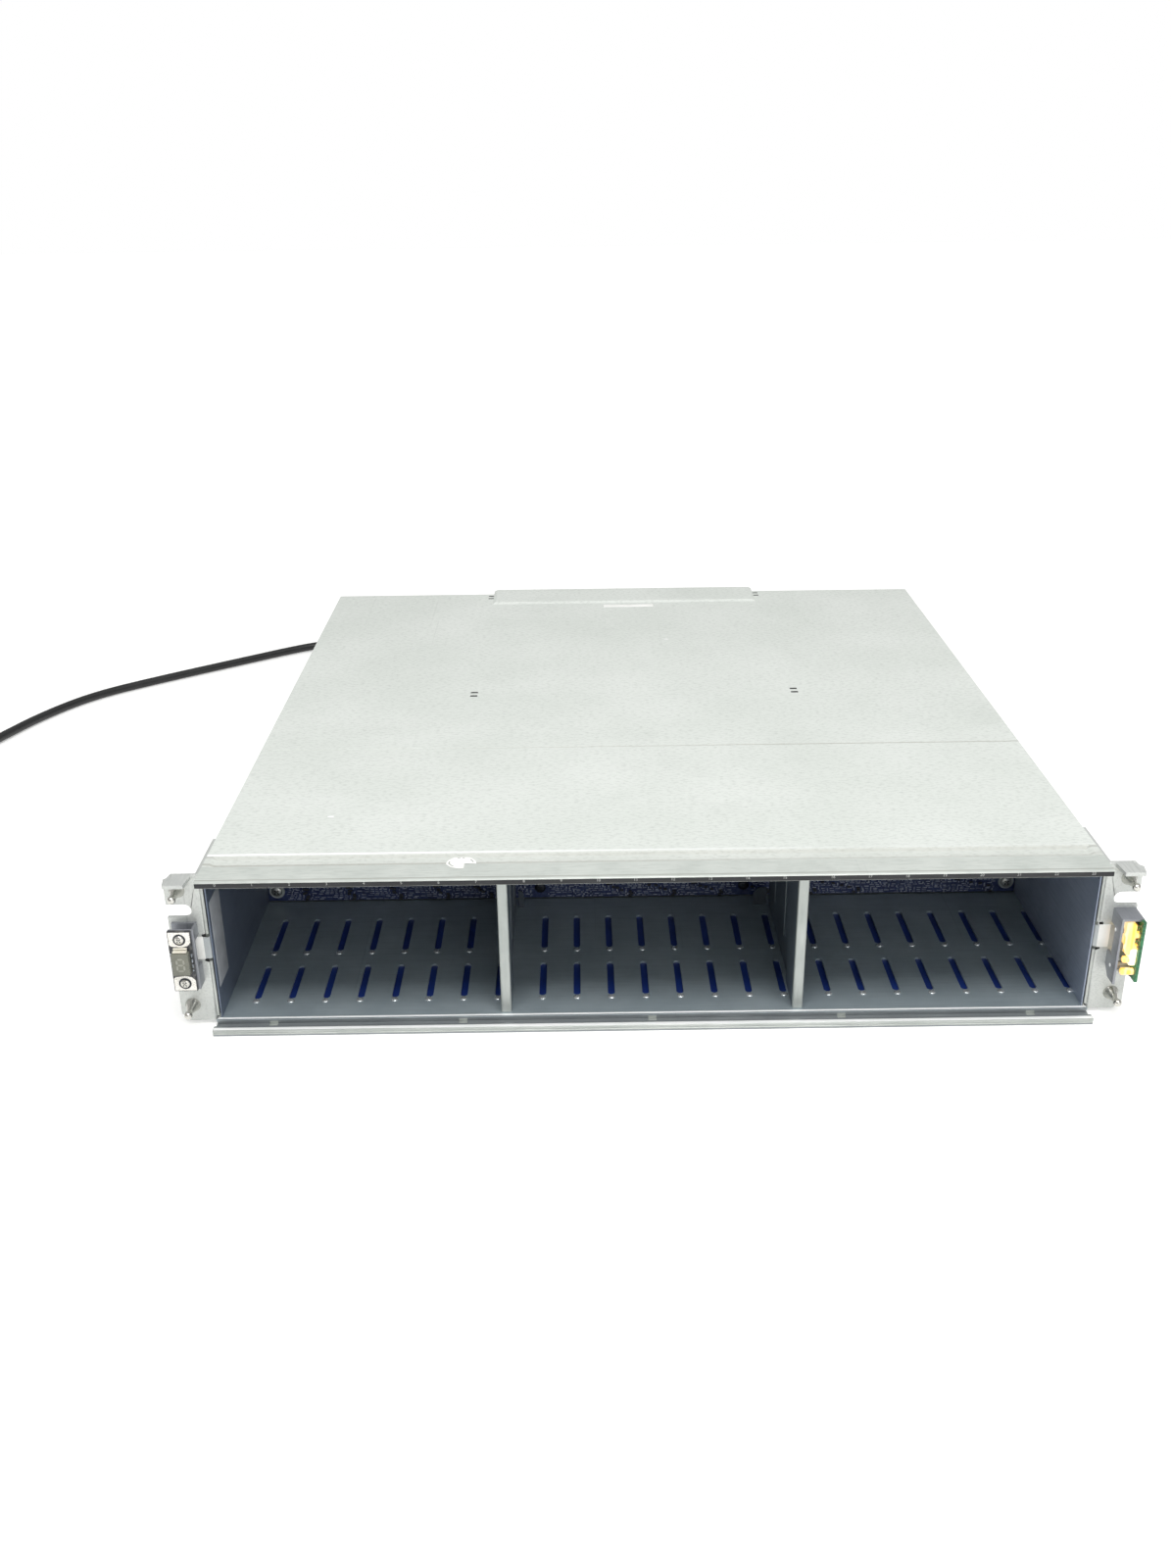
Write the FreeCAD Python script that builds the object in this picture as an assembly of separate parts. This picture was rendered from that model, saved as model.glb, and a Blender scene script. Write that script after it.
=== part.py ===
"""Two-unit rack storage array: an empty drive cage in front, four plug-in modules behind.

Millimetres. X runs to the right seen from the front, Y to the rear and Z up. The origin is on the
underside of the pan, at mid-width, in the rack plane, which is the rear face of the ears.
"""
import FreeCAD
import Part
import math
import os

# Chassis shell
rack_width = 482.6
ear_reach = 18.0
chassis_height = 87.0
chassis_depth = 467.0
sheet = 1.2
fold_radius = 1.8

# Clearances
neighbour_gap = 0.3
module_gap = 0.4
pin_clearance = 0.05
contact_clearance = 0.2

# Front lip of the pan
lip_reach = 14.0
hem_depth = 4.0
hem_rise = 3.4
hem_round = 0.5
hem_seam_depth = 0.35
hem_seam_width = 0.5
corner_relief_width = 3.2
corner_relief_depth = 3.6
ledge_hole_count = 5
ledge_hole_margin = 29.3
ledge_hole_width = 4.3
ledge_hole_depth = 5.0

# Front top rail
rail_reach = 12.0
rail_depth = 16.4
rail_lip_height = 3.2

# Top cover
recess_inset = 3.5
recess_rear = 16.0
joggle_run = 2.4
cover_tuck = 9.0
press_line_y = 152.5
press_line_width = 1.6
press_line_depth = 0.25
press_line_inset = 4.5
tongue_side_gap = 4.0
tongue_depth = 25.0
tongue_overhang = 8.0
wall_slot_setbacks = (224.3, 8.3)
wall_slot_length = 4.6
wall_slot_width = 2.6
wall_slot_spacing = 6.2

# Drive cage
section_count = 3
bays_per_section = 8
film_thickness = 1.0
film_inset = 6.0
floor_front = -4.4
ceiling_drop = 3.3
slot_width = 3.6
slot_side_offset = 2.4
slot_rows = ((15.4, 47.6), (63.6, 98.6))
partition_width = 5.2
partition_setback = 3.7
partition_nose_depth = 24.0
partition_web = 2.0
partition_rib_radius = 1.3
partition_rib_ys = (47.0, 84.0)
partition_rib_start = 15.0
side_sheet = 0.6
side_sheet_gap = 0.7

# Midplane
midplane_y = 120.5
board_thickness = 3.0
midplane_side_gap = 1.5
midplane_foot_gap = 0.6
drive_socket_width = 6.4
drive_socket_depth = 9.5
drive_socket_height = 43.0
vent_width = 14.0
vent_height = 9.0
midplane_inner_screw_x = 60.0
midplane_screw_side = 5.3
midplane_screw_inset = 6.5
screw_head_radius = 3.6
screw_head_height = 2.2
module_socket_length = 9.0
module_socket_height = 12.0
power_socket_width = 60.0
control_socket_width = 84.0

# Rack ears
ear_sheet = 2.0
ear_leg_depth = 38.0
ear_bottom = 2.0
ear_top_gap = 0.8
ear_chamfer = 4.0
ear_fold_radius = 2.6
tab_reach = 11.0
tab_inset = 1.0
tab_root_width = 12.5
tab_taper = 1.2
notch_radius = 3.5
notch_inset = 8.75
notch_drop = 20.0
stud_inset = 6.4
stud_foot = 9.5
stud_drop = 8.5
stud_length = 10.0
stud_base_radius = 3.8
stud_neck_radius = 1.3
stud_ball_radius = 2.1
rivet_radius = 2.2
rivet_height = 0.9
rivet_margin = 17.0
rivet_y = 26.0

# Ribbon cables and their slots
ribbon_height = 12.0
ribbon_thickness = 0.4
ribbon_drop = 21.2
ribbon_slot_height = 16.0
ribbon_slot_reach = 5.0

# Ear boards
ear_board_thickness = 1.6
ear_bracket_sheet = 1.2
display_board_width = 11.5
display_board_height = 34.0
display_board_drop = 6.2
display_board_inset = 1.6
display_stand = 8.4
display_screw_inset = 4.5
display_width = 8.6
display_height = 12.0
display_depth = 3.6
status_plate_inset = 11.7
status_plate_depth = 12.5
status_plate_drop = 5.2
status_plate_height = 37.0
status_plate_chamfer = 5.0
status_top_flange = 11.0
status_board_inset = 2.4
status_board_depth = 15.6
status_board_height = 34.0
status_board_chamfer = 9.0
light_guide_count = 4
light_guide_radius = 1.8
light_guide_length = 6.5
light_guide_pitch = 7.0
status_post_radius = 2.0
ear_screw_head_radius = 2.4
ear_screw_head_height = 1.5

# Module bays
power_width = 117.2
module_sheet = 1.0
panel_sheet = 1.2

# Power modules
entry_margin = 8.0
entry_flange_width = 32.0
entry_flange_height = 52.0
entry_flange_depth = 2.0
entry_lift = 8.0
entry_rim = 2.5
entry_body_depth = 20.0
inlet_width = 24.4
inlet_height = 16.4
inlet_depth = 15.0
inlet_corner = 4.0
inlet_rise = 13.5
pin_width = 2.0
pin_height = 4.0
pin_length = 10.0
pin_spread = 7.0
pin_ground_rise = 4.0
switch_rise = 39.0
switch_width = 17.2
switch_height = 13.2
switch_depth = 9.0
switch_side_gap = 0.4
rocker_half_height = 5.4
rocker_tip = 3.4
rocker_valley = 2.0
rocker_root = 3.0
rocker_tilt = 9.0
rocker_trunnion_radius = 1.0
rocker_trunnion_length = 1.4
fan_gap = 4.0
fan_side_margin = 13.2
fan_depth = 25.0
fan_wall = 1.5
fan_lift = 5.0
fan_boss_radius = 12.0
fan_boss_depth = 4.0
fan_strut_width = 3.0
rotor_hub_radius = 13.0
rotor_blades = 7
rotor_tip_gap = 1.0
rotor_end_gap = 1.0
rotor_shaft_radius = 1.5
blade_thickness = 1.4
blade_angle = 40.0
grille_bar = 3.0
grille_slot_share = 0.646
grille_slots = 7
power_vent_count = 4
power_vent_width = 14.0
power_vent_height = 40.0

# Module levers
lever_height = 7.0
lever_thickness = 4.0
lever_stand = 5.2
lever_boss_radius = 4.4
lever_pin_radius = 1.5
lever_finger_length = 12.0
lever_finger_reach = 6.0
lug_sheet = 1.2
lug_gap = 0.4
lug_margin = 2.0
power_lever_length = 78.0
power_lever_drop = 5.0
power_lever_inset = 12.0
control_lever_length = 56.0
control_lever_lift = 4.0
control_lever_inset = 8.0

# Controller modules
control_board_lift = 7.0
control_board_thickness = 1.6
control_board_depth = 180.0
port_rise = 22.5
port_wall = 1.0
port_flange = 0.8
cable_port_width = 20.0
cable_port_height = 11.0
cable_port_depth = 18.0
network_port_width = 16.0
network_port_height = 13.4
network_port_depth = 18.0
port_cut_gap = 0.3
cable_port_xs = (30.0, 62.0)
network_port_inset = 35.0
control_vent_count = 5
control_vent_width = 6.0
control_vent_height = 12.0
control_vent_margin = 14.0
control_vent_end_margin = 32.0

# Mains cord
cord_radius = 3.25
cord_sides = 8
connector_nose_gap = 0.3
connector_body_width = 27.0
connector_body_height = 20.0
connector_body_length = 24.0
relief_length = 30.0
relief_root_radius = 6.0
coil_mean_radius = 36.9
coil_half_width = 11.2
coil_height = 13.4
coil_shift = (-335.3, -159.5)
plug_width = 27.0
plug_height = 24.0
plug_length = 38.0
plug_neck_length = 18.0
plug_pin_length = 17.0
plug_pin_spread = 6.35
plug_pin_width = 6.2
plug_pin_thickness = 1.5
plug_ground_radius = 2.4
plug_shift = (-290.5, -233.0)
plug_rise = 12.4
plug_tail_length = 42.0
cord_first_run = 26.0
cord_shifts = (
    (-12.8, 54.8, 14.0),
    (-34.1, 71.4, 7.0),
    (-60.8, 75.2, 4.2),
    (-85.1, 66.0, 3.6),
    (-125.6, 36.6, 3.5),
    (-193.9, -14.0, 3.5),
    (-236.8, -50.0, 3.5),
    (-263.6, -95.7, 3.5),
    (-279.1, -141.7, 3.7),
    (-294.1, -177.0, 6.0),
)

# Places that follow from the sizes above
overcut = 1.0
tiny = 1e-4
half_width = rack_width / 2 - ear_reach
inner_half = half_width - sheet
cover_underside = chassis_height - sheet
wall_front = -ear_sheet
lip_front = -lip_reach
ledge_hole_pitch = (half_width - ledge_hole_margin) * 2 / (ledge_hole_count - 1)
rail_front = -rail_reach
rail_rear = rail_front + rail_depth
recess_half = half_width - recess_inset
recess_underside = cover_underside - sheet
floor_bottom = sheet + film_thickness
floor_top = floor_bottom + sheet
ceiling_bottom = cover_underside - ceiling_drop
cage_front = wall_front + neighbour_gap
cage_rear = midplane_y - neighbour_gap
partition_front = floor_front + partition_setback
section_width = (2 * inner_half - (section_count - 1) * partition_width) / section_count
bay_pitch = section_width / bays_per_section
midplane_rear = midplane_y + board_thickness
midplane_half = inner_half - midplane_side_gap
midplane_screw_xs = (midplane_inner_screw_x, midplane_half - midplane_screw_side)
midplane_bottom = floor_top + midplane_foot_gap
midplane_top = ceiling_bottom - midplane_foot_gap
frame_rear = midplane_rear + sheet
drive_socket_z = (midplane_bottom + midplane_top) / 2
module_front = frame_rear + module_socket_length + module_gap
control_bay_half = inner_half - power_width - sheet - 2 * module_gap
control_module_width = 2 * (control_bay_half - module_gap)
module_wall_x = control_bay_half + sheet / 2
tongue_half = module_wall_x - tongue_side_gap
tongue_front = chassis_depth - tongue_depth
power_bottom = sheet + module_gap
power_top = cover_underside - module_gap
power_places = {"left": module_gap - inner_half, "right": control_bay_half + sheet + module_gap}
shelf_bottom = (sheet + cover_underside - sheet) / 2
control_height = shelf_bottom - sheet - 2 * module_gap
control_places = {"lower": sheet + module_gap, "upper": shelf_bottom + sheet + module_gap}
panel_front = chassis_depth - panel_sheet
network_port_x = control_module_width - network_port_inset
control_vent_start = cable_port_xs[-1] + cable_port_width / 2 + control_vent_margin
control_vent_end = network_port_x - network_port_width / 2 - control_vent_end_margin
control_vent_pitch = (control_vent_end - control_vent_start) / (control_vent_count - 1)
ear_half = rack_width / 2
ear_front = -ear_sheet
ear_top = chassis_height - ear_top_gap
notch_x = ear_half - notch_inset
notch_z = ear_top - notch_drop
stud_x = ear_half - stud_inset
stud_zs = (ear_bottom + stud_foot, ear_top - stud_drop)
rivet_zs = (ear_bottom + rivet_margin, ear_top - rivet_margin)
ribbon_z = notch_z - ribbon_drop
display_board_z = notch_z - display_board_drop - display_board_height
status_top = notch_z - status_plate_drop
status_plate_x = ear_half - status_plate_inset
status_plate_z = status_top - status_plate_height
status_board_x = ear_half - status_board_inset
status_board_z = status_top - status_board_height
entry_bottom = power_bottom + entry_lift
entry_centre = entry_margin + entry_flange_width / 2
entry_rear = chassis_depth + entry_flange_depth
inlet_z = entry_bottom + inlet_rise
switch_z = entry_bottom + switch_rise
switch_y = chassis_depth
fan_left = entry_margin + entry_flange_width + fan_gap
fan_size = power_width - fan_left - fan_side_margin
fan_centre = fan_left + fan_size / 2
fan_z = power_bottom + fan_lift + fan_size / 2
fan_front = panel_front - fan_depth
fan_bore = fan_size / 2 - fan_wall
grille_pitch = fan_bore * 2 / (grille_slots + 1)
grille_slot = grille_pitch * grille_slot_share
lever_y = chassis_depth + lever_stand
power_lever_z = power_top - power_lever_drop - lever_height
connector_x = power_places["left"] + entry_centre
relief_end = entry_rear + connector_body_length + relief_length


def vector(x, y, z):
    """A point or direction."""
    return FreeCAD.Vector(x, y, z)


def box(x0, x1, y0, y1, z0, z1):
    """A block between two corners."""
    return Part.makeBox(x1 - x0, y1 - y0, z1 - z0, vector(x0, y0, z0))


def rod(radius, start, direction, length):
    """A cylinder from a start point along a direction."""
    return Part.makeCylinder(radius, length, start, direction)


def prism(points, path):
    """A flat outline of points, pushed along a path."""
    return flat(points).extrude(path)


def flat(corners):
    """A flat face with the given corners."""
    return Part.Face(Part.makePolygon(corners + corners[:1]))


def faceted(rings):
    """A solid with flat sides through rings of corners, all rings with the same count."""
    faces = [flat(rings[0]), flat(rings[-1])]
    for low, high in zip(rings, rings[1:]):
        for index in range(len(low)):
            faces.append(flat([low[index - 1], low[index], high[index], high[index - 1]]))
    shell = Part.makeShell(faces)
    shell.sewShape()
    return Part.makeSolid(shell)


def rectangle(x0, x1, y0, y1, z):
    """Corners of a level rectangle."""
    return [vector(x0, y0, z), vector(x1, y0, z), vector(x1, y1, z), vector(x0, y1, z)]


def frustum(low, high):
    """A solid between two level rectangles, each given as x0, x1, y0, y1, z."""
    return faceted([rectangle(*low), rectangle(*high)])


def rounded(shape, radius, chosen):
    """The shape with the chosen edges rounded."""
    edges = [edge for edge in shape.Edges if chosen(edge.BoundBox)]
    return shape.makeFillet(radius, edges)


def along_y(bounds):
    """True for the bounds of a straight edge along Y."""
    return bounds.XLength < tiny and bounds.ZLength < tiny


def along_z(bounds):
    """True for the bounds of a straight edge along Z."""
    return bounds.XLength < tiny and bounds.YLength < tiny


def cut_corner_slot(x, y0, y1, width, z0, z1):
    """A slot along Y whose ends are cut to half an octagon, as a solid to cut with."""
    half = width / 2
    tip = half * math.tan(math.pi / 8)
    back = half - tip
    outline = [(-tip, y0), (tip, y0), (half, y0 + back), (half, y1 - back),
               (tip, y1), (-tip, y1), (-half, y1 - back), (-half, y0 + back)]
    return prism([vector(x + dx, y, z0) for dx, y in outline], vector(0, 0, z1 - z0))


def ring_of_points(radius, height, sides):
    """Corners of a level polygon about the Z axis, its flats at the given radius."""
    reach = radius / math.cos(math.pi / sides)
    turns = [(step + 0.5) * 2 * math.pi / sides for step in range(sides)]
    return [vector(reach * math.cos(turn), reach * math.sin(turn), height) for turn in turns]


def turned(stations, place, direction, sides=8):
    """A faceted turning: stations of radius and distance, along a direction from a place."""
    shape = faceted([ring_of_points(radius, height, sides) for radius, height in stations])
    shape.Placement = FreeCAD.Placement(place, FreeCAD.Rotation(vector(0, 0, 1), direction))
    return shape


def round_head(radius, height, place, direction):
    """A round fastener head with a bevelled rim, its flat seat at a place."""
    bevel = min(radius, height) / 2
    return turned([(radius, 0), (radius, height - bevel), (radius - bevel, height)], place, direction)


def strip(points, thickness, z0, z1):
    """A folded strip of even thickness that follows points in plan and stands from z0 to z1."""
    normals = []
    for first, second in zip(points, points[1:]):
        run = math.hypot(second[0] - first[0], second[1] - first[1])
        normals.append(((first[1] - second[1]) / run, (second[0] - first[0]) / run))
    sides = {1: [], -1: []}
    for index, point in enumerate(points):
        before = normals[max(index - 1, 0)]
        after = normals[min(index, len(normals) - 1)]
        reach = thickness / (1 + before[0] * after[0] + before[1] * after[1])
        shift = ((before[0] + after[0]) * reach / 2, (before[1] + after[1]) * reach / 2)
        for side in sides:
            sides[side].append(vector(point[0] + side * shift[0], point[1] + side * shift[1], z0))
    return prism(sides[1] + sides[-1][::-1], vector(0, 0, z1 - z0))


def mirrored(shape):
    """The shape on the other side of the chassis."""
    return shape.mirror(vector(0, 0, 0), vector(1, 0, 0))


def bay_slot_xs():
    """Middle of each guide slot: near the right-hand side of every bay."""
    places = []
    for section in range(section_count):
        left = -inner_half + section * (section_width + partition_width)
        for bay in range(bays_per_section):
            places.append(left + (bay + 1) * bay_pitch - slot_side_offset)
    return places


def partition_xs():
    """Middle of each partition between two sections."""
    step = section_width + partition_width
    return [-inner_half + step * (index + 1) - partition_width / 2 for index in range(section_count - 1)]


def bay_centres():
    """Middle of every bay."""
    return [x + slot_side_offset - bay_pitch / 2 for x in bay_slot_xs()]


def base_pan():
    """Floor and two side walls in one folded sheet, with a doubled lip in front."""
    outer = box(-half_width, half_width, wall_front, chassis_depth, 0, cover_underside)
    outer = rounded(outer, fold_radius, lambda b: along_y(b) and b.ZMax < tiny)
    inner = box(-inner_half, inner_half, wall_front - overcut, chassis_depth + overcut,
                sheet, chassis_height)
    inner = rounded(inner, fold_radius - sheet, lambda b: along_y(b) and b.ZMax < sheet + tiny)
    ledge = box(-half_width, half_width, lip_front + hem_round, wall_front + overcut, 0, sheet)
    hem = box(-half_width, half_width, lip_front, lip_front + hem_depth, 0, hem_rise)
    hem = rounded(hem, hem_round, lambda b: b.YMax < lip_front + tiny and b.ZMin > hem_rise - tiny)
    pan = outer.cut(inner).fuse([ledge, hem]).removeSplitter()
    seam = prism([vector(-half_width - overcut, lip_front - tiny, hem_rise / 2 - hem_seam_width / 2),
                  vector(-half_width - overcut, lip_front - tiny, hem_rise / 2 + hem_seam_width / 2),
                  vector(-half_width - overcut, lip_front + hem_seam_depth, hem_rise / 2)],
                 vector(2 * half_width + 2 * overcut, 0, 0))
    cuts = [seam]
    for side in (-1, 1):
        edge = sorted((side * (half_width + overcut), side * (half_width - corner_relief_width)))
        cuts.append(box(edge[0], edge[1], wall_front - overcut, wall_front + corner_relief_depth,
                        -overcut, sheet + corner_relief_depth))
        cuts.append(box(edge[0], edge[1], wall_front - overcut, wall_front + ribbon_slot_reach,
                        ribbon_z - ribbon_slot_height / 2, ribbon_z + ribbon_slot_height / 2))
    ledge_rear = floor_front - (floor_front - lip_front - hem_depth - ledge_hole_depth) / 2
    for index in range(ledge_hole_count):
        x = (index - (ledge_hole_count - 1) / 2) * ledge_hole_pitch
        cuts.append(box(x - ledge_hole_width / 2, x + ledge_hole_width / 2,
                        ledge_rear - ledge_hole_depth, ledge_rear, -overcut, sheet + overcut))
    return pan.cut(cuts)


def wall_slots(x, y):
    """Pair of short slots in the cover above a module wall."""
    half = wall_slot_length / 2
    low = cover_underside - overcut
    high = chassis_height + overcut
    middles = (y - wall_slot_spacing / 2, y + wall_slot_spacing / 2)
    return [box(x - half, x + half, middle - wall_slot_width / 2, middle + wall_slot_width / 2, low, high)
            for middle in middles]


def top_cover():
    """Flat lid: joggled down at the front for the rail, joggled up over the controllers' rear."""
    plate = box(-half_width, half_width, rail_rear + neighbour_gap, chassis_depth,
                cover_underside, chassis_height)
    low_half = recess_half - joggle_run
    dip = frustum((-low_half, low_half, rail_front, recess_rear - joggle_run, cover_underside),
                  (-recess_half, recess_half, rail_front, recess_rear, chassis_height))
    tray = box(-recess_half, recess_half, rail_rear - cover_tuck, recess_rear,
               recess_underside, cover_underside)
    tongue_rear = chassis_depth + tongue_overhang
    raised = chassis_height + sheet
    skirt = tongue_half + joggle_run
    rise = frustum((-skirt, skirt, tongue_front - joggle_run, tongue_rear, chassis_height),
                   (-tongue_half, tongue_half, tongue_front, tongue_rear, raised))
    hollow = box(-tongue_half, tongue_half, tongue_front, chassis_depth + overcut,
                 cover_underside - overcut, chassis_height)
    groove_half = half_width - press_line_inset
    groove = prism([vector(-groove_half, press_line_y - press_line_width / 2, chassis_height),
                    vector(-groove_half, press_line_y + press_line_width / 2, chassis_height),
                    vector(-groove_half, press_line_y, chassis_height - press_line_depth)],
                   vector(2 * groove_half, 0, 0))
    cuts = [slot for side in (-1, 1) for setback in wall_slot_setbacks
            for slot in wall_slots(side * module_wall_x, chassis_depth - setback)]
    lid = plate.cut([dip, hollow, groove] + cuts)
    return lid.fuse([tray, rise]).removeSplitter()


def front_top_rail():
    """Folded strip across the top of the bays, with a short lip that carries the bay numbers."""
    flange = box(-half_width, half_width, rail_front, rail_rear, cover_underside, chassis_height)
    lip = box(-half_width, half_width, rail_front, rail_front + sheet,
              chassis_height - rail_lip_height, chassis_height)
    rail = flange.fuse(lip).removeSplitter()
    return rounded(rail, sheet / 2, lambda b: b.YMax < rail_front + tiny and b.ZMin > chassis_height - tiny)


def bay_floor():
    """Slotted tray that the drive carriers slide on, as wide as the pan in front of the walls."""
    half = inner_half - neighbour_gap
    tray = box(-half, half, floor_front, cage_rear, floor_bottom, floor_top)
    edge = box(-half_width, half_width, floor_front, wall_front - neighbour_gap, floor_bottom, floor_top)
    tray = tray.fuse(edge).removeSplitter()
    slots = []
    for x in bay_slot_xs():
        for front, rear in slot_rows:
            slots.append(cut_corner_slot(x, front, rear, slot_width, floor_bottom - overcut,
                                         floor_top + overcut))
    return tray.cut(slots)


def bay_floor_film():
    """Blue plastic sheet between the pan and the slotted floor."""
    half = inner_half - film_inset
    return box(-half, half, floor_front + film_inset, cage_rear, sheet, floor_bottom)


def bay_ceiling():
    """Slotted tray above the drive carriers."""
    half = inner_half - neighbour_gap
    tray = box(-half, half, cage_front, cage_rear, ceiling_bottom, ceiling_bottom + sheet)
    slots = []
    for x in bay_slot_xs():
        slots.append(box(x - slot_width / 2, x + slot_width / 2, slot_rows[0][0], slot_rows[-1][-1],
                         ceiling_bottom - overcut, ceiling_bottom + sheet + overcut))
    return tray.cut(slots)


def bay_partition(x):
    """Upright wall between two sections: a folded hollow nose and a ribbed web behind it."""
    half = partition_width / 2
    nose = box(x - half, x + half, partition_front, partition_nose_depth, floor_top, ceiling_bottom)
    nose = rounded(nose, sheet, lambda b: along_z(b) and b.YMax < partition_front + tiny)
    hollow = box(x - half + sheet, x + half - sheet, partition_front + sheet, partition_nose_depth - sheet,
                 floor_top - overcut, ceiling_bottom + overcut)
    rear = cage_rear - drive_socket_depth
    web = box(x - partition_web / 2, x + partition_web / 2, partition_nose_depth - sheet, rear,
              floor_top, ceiling_bottom)
    foot = floor_top + partition_rib_start
    ribs = [turned([(partition_rib_radius, 0), (partition_rib_radius, ceiling_bottom - foot)],
                   vector(x, y, foot), vector(0, 0, 1)) for y in partition_rib_ys]
    return nose.cut(hollow).fuse([web] + ribs).removeSplitter()


def cage_side(side):
    """Thin upright sheet beside the outer bays, with the ribbon between it and the pan's wall."""
    outer = inner_half - side_sheet_gap
    left, right = sorted((side * outer, side * (outer - side_sheet)))
    return box(left, right, cage_front, cage_rear, floor_top, ceiling_bottom)


def midplane_screw_places():
    """Screw positions on the midplane as pairs of X and Z."""
    low = midplane_bottom + midplane_screw_inset
    high = midplane_top - midplane_screw_inset
    return [(side * x, z) for side in (-1, 1) for x in midplane_screw_xs for z in (low, high)]


def midplane_vents():
    """Air openings above every pair of drive sockets, through the board and the frame behind it."""
    z = (drive_socket_z + drive_socket_height / 2 + midplane_top) / 2
    middles = [x + bay_pitch / 2 for x in bay_centres()[::2]]
    return [box(x - vent_width / 2, x + vent_width / 2, midplane_y - overcut, frame_rear + overcut,
                z - vent_height / 2, z + vent_height / 2) for x in middles]


def midplane_board():
    """Circuit board across the back of the bays."""
    board = box(-midplane_half, midplane_half, midplane_y, midplane_rear, midplane_bottom, midplane_top)
    return board.cut(midplane_vents())


def midplane_drive_sockets():
    """One upright socket for each bay on the front of the midplane."""
    half = drive_socket_width / 2
    low = drive_socket_z - drive_socket_height / 2
    high = drive_socket_z + drive_socket_height / 2
    sockets = [box(x - half, x + half, midplane_y - drive_socket_depth, midplane_y, low, high)
               for x in bay_centres()]
    return Part.makeCompound(sockets)


def module_socket_places():
    """Middle X, width and middle Z of each module socket behind the midplane."""
    middle = (power_bottom + power_top) / 2
    places = [(left + power_width / 2, power_socket_width, middle) for left in power_places.values()]
    for bottom in control_places.values():
        places.append((0, control_socket_width, bottom + control_height / 2))
    return places


def midplane_module_sockets():
    """Sockets on the rear of the midplane that the modules plug towards."""
    sockets = []
    for x, width, z in module_socket_places():
        sockets.append(box(x - width / 2, x + width / 2, midplane_rear, frame_rear + module_socket_length,
                           z - module_socket_height / 2, z + module_socket_height / 2))
    return Part.makeCompound(sockets)


def midplane_frame():
    """Sheet bulkhead behind the midplane, cut out for the module sockets."""
    half = inner_half - neighbour_gap
    bulkhead = box(-half, half, midplane_rear, frame_rear, sheet, recess_underside)
    bulkhead = rounded(bulkhead, fold_radius, lambda b: along_y(b) and b.ZMax < sheet + tiny)
    tall = module_socket_height / 2 + neighbour_gap
    cuts = []
    for x, width, z in module_socket_places():
        wide = width / 2 + neighbour_gap
        cuts.append(box(x - wide, x + wide, midplane_rear - overcut, frame_rear + overcut,
                        z - tall, z + tall))
    return bulkhead.cut(cuts + midplane_vents())


def midplane_screws():
    """Heads of the screws that hold the midplane to its frame."""
    return Part.makeCompound([round_head(screw_head_radius, screw_head_height, vector(x, midplane_y, z),
                                         vector(0, -1, 0)) for x, z in midplane_screw_places()])


def module_wall(side):
    """Upright sheet between the controllers and a power module."""
    x = side * module_wall_x
    return box(x - sheet / 2, x + sheet / 2, frame_rear, chassis_depth - sheet, sheet, cover_underside)


def module_shelf():
    """Level sheet between the two controllers."""
    return box(-control_bay_half, control_bay_half, module_front, chassis_depth - sheet,
               shelf_bottom, shelf_bottom + sheet)


def rack_ear():
    """Right-hand ear: a leg on the side wall, a flange for the rack post and a tab bent forward."""
    leg_outer = half_width + ear_sheet
    leg = box(half_width, leg_outer, ear_front, ear_leg_depth, ear_bottom, ear_top)
    flange = box(half_width, ear_half, ear_front, 0, ear_bottom, ear_top)
    flange = flange.makeChamfer(ear_chamfer, [edge for edge in flange.Edges
                                              if edge.BoundBox.YLength > ear_sheet - tiny
                                              and edge.BoundBox.XMin > ear_half - tiny])
    ear = leg.fuse(flange).removeSplitter()
    ear = rounded(ear, ear_fold_radius / 2, lambda b: along_z(b) and b.YMax < ear_front + tiny
                  and b.XMax < half_width + tiny)
    tab_outer = ear_half - ear_chamfer / 2 - tab_inset + tab_taper
    tab_inner = tab_outer - tab_root_width
    tab_front = ear_front - tab_reach
    tab = prism([vector(tab_inner, ear_front + tiny, ear_top - ear_sheet),
                 vector(tab_outer - ear_chamfer, ear_front + tiny, ear_top - ear_sheet),
                 vector(tab_outer, ear_front - ear_chamfer, ear_top - ear_sheet),
                 vector(tab_outer - tab_taper, tab_front, ear_top - ear_sheet),
                 vector(tab_inner + tab_taper, tab_front, ear_top - ear_sheet)], vector(0, 0, ear_sheet))
    notch = rod(notch_radius, vector(notch_x, ear_front - overcut, notch_z), vector(0, 1, 0),
                ear_sheet + 2 * overcut)
    mouth = box(notch_x, ear_half + overcut, ear_front - overcut, overcut,
                notch_z - notch_radius, notch_z + notch_radius)
    slot = box(half_width - overcut, half_width + ear_sheet, ear_front - overcut,
               ear_front + ribbon_slot_reach, ribbon_z - ribbon_slot_height / 2,
               ribbon_z + ribbon_slot_height / 2)
    return ear.fuse(tab).cut([notch, mouth, slot]).removeSplitter()


def ear_studs():
    """Ball studs that a snap-on ear cover clips to: a tapered shank and a ball."""
    ball = stud_ball_radius
    waist = ball * math.sin(math.pi / 4)
    stations = [(stud_base_radius, 0), (stud_neck_radius, stud_length - ball), (waist, stud_length - waist),
                (ball, stud_length), (waist, stud_length + waist), (waist / 2, stud_length + ball)]
    return Part.makeCompound([turned(stations, vector(side * stud_x, ear_front, z), vector(0, -1, 0))
                              for side in (-1, 1) for z in stud_zs])


def ear_rivets():
    """Flat-headed rivets that hold the ears' legs to the side walls."""
    outer = half_width + ear_sheet
    return Part.makeCompound([round_head(rivet_radius, rivet_height, vector(side * outer, rivet_y, z),
                                         vector(side, 0, 0)) for side in (-1, 1) for z in rivet_zs])


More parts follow.
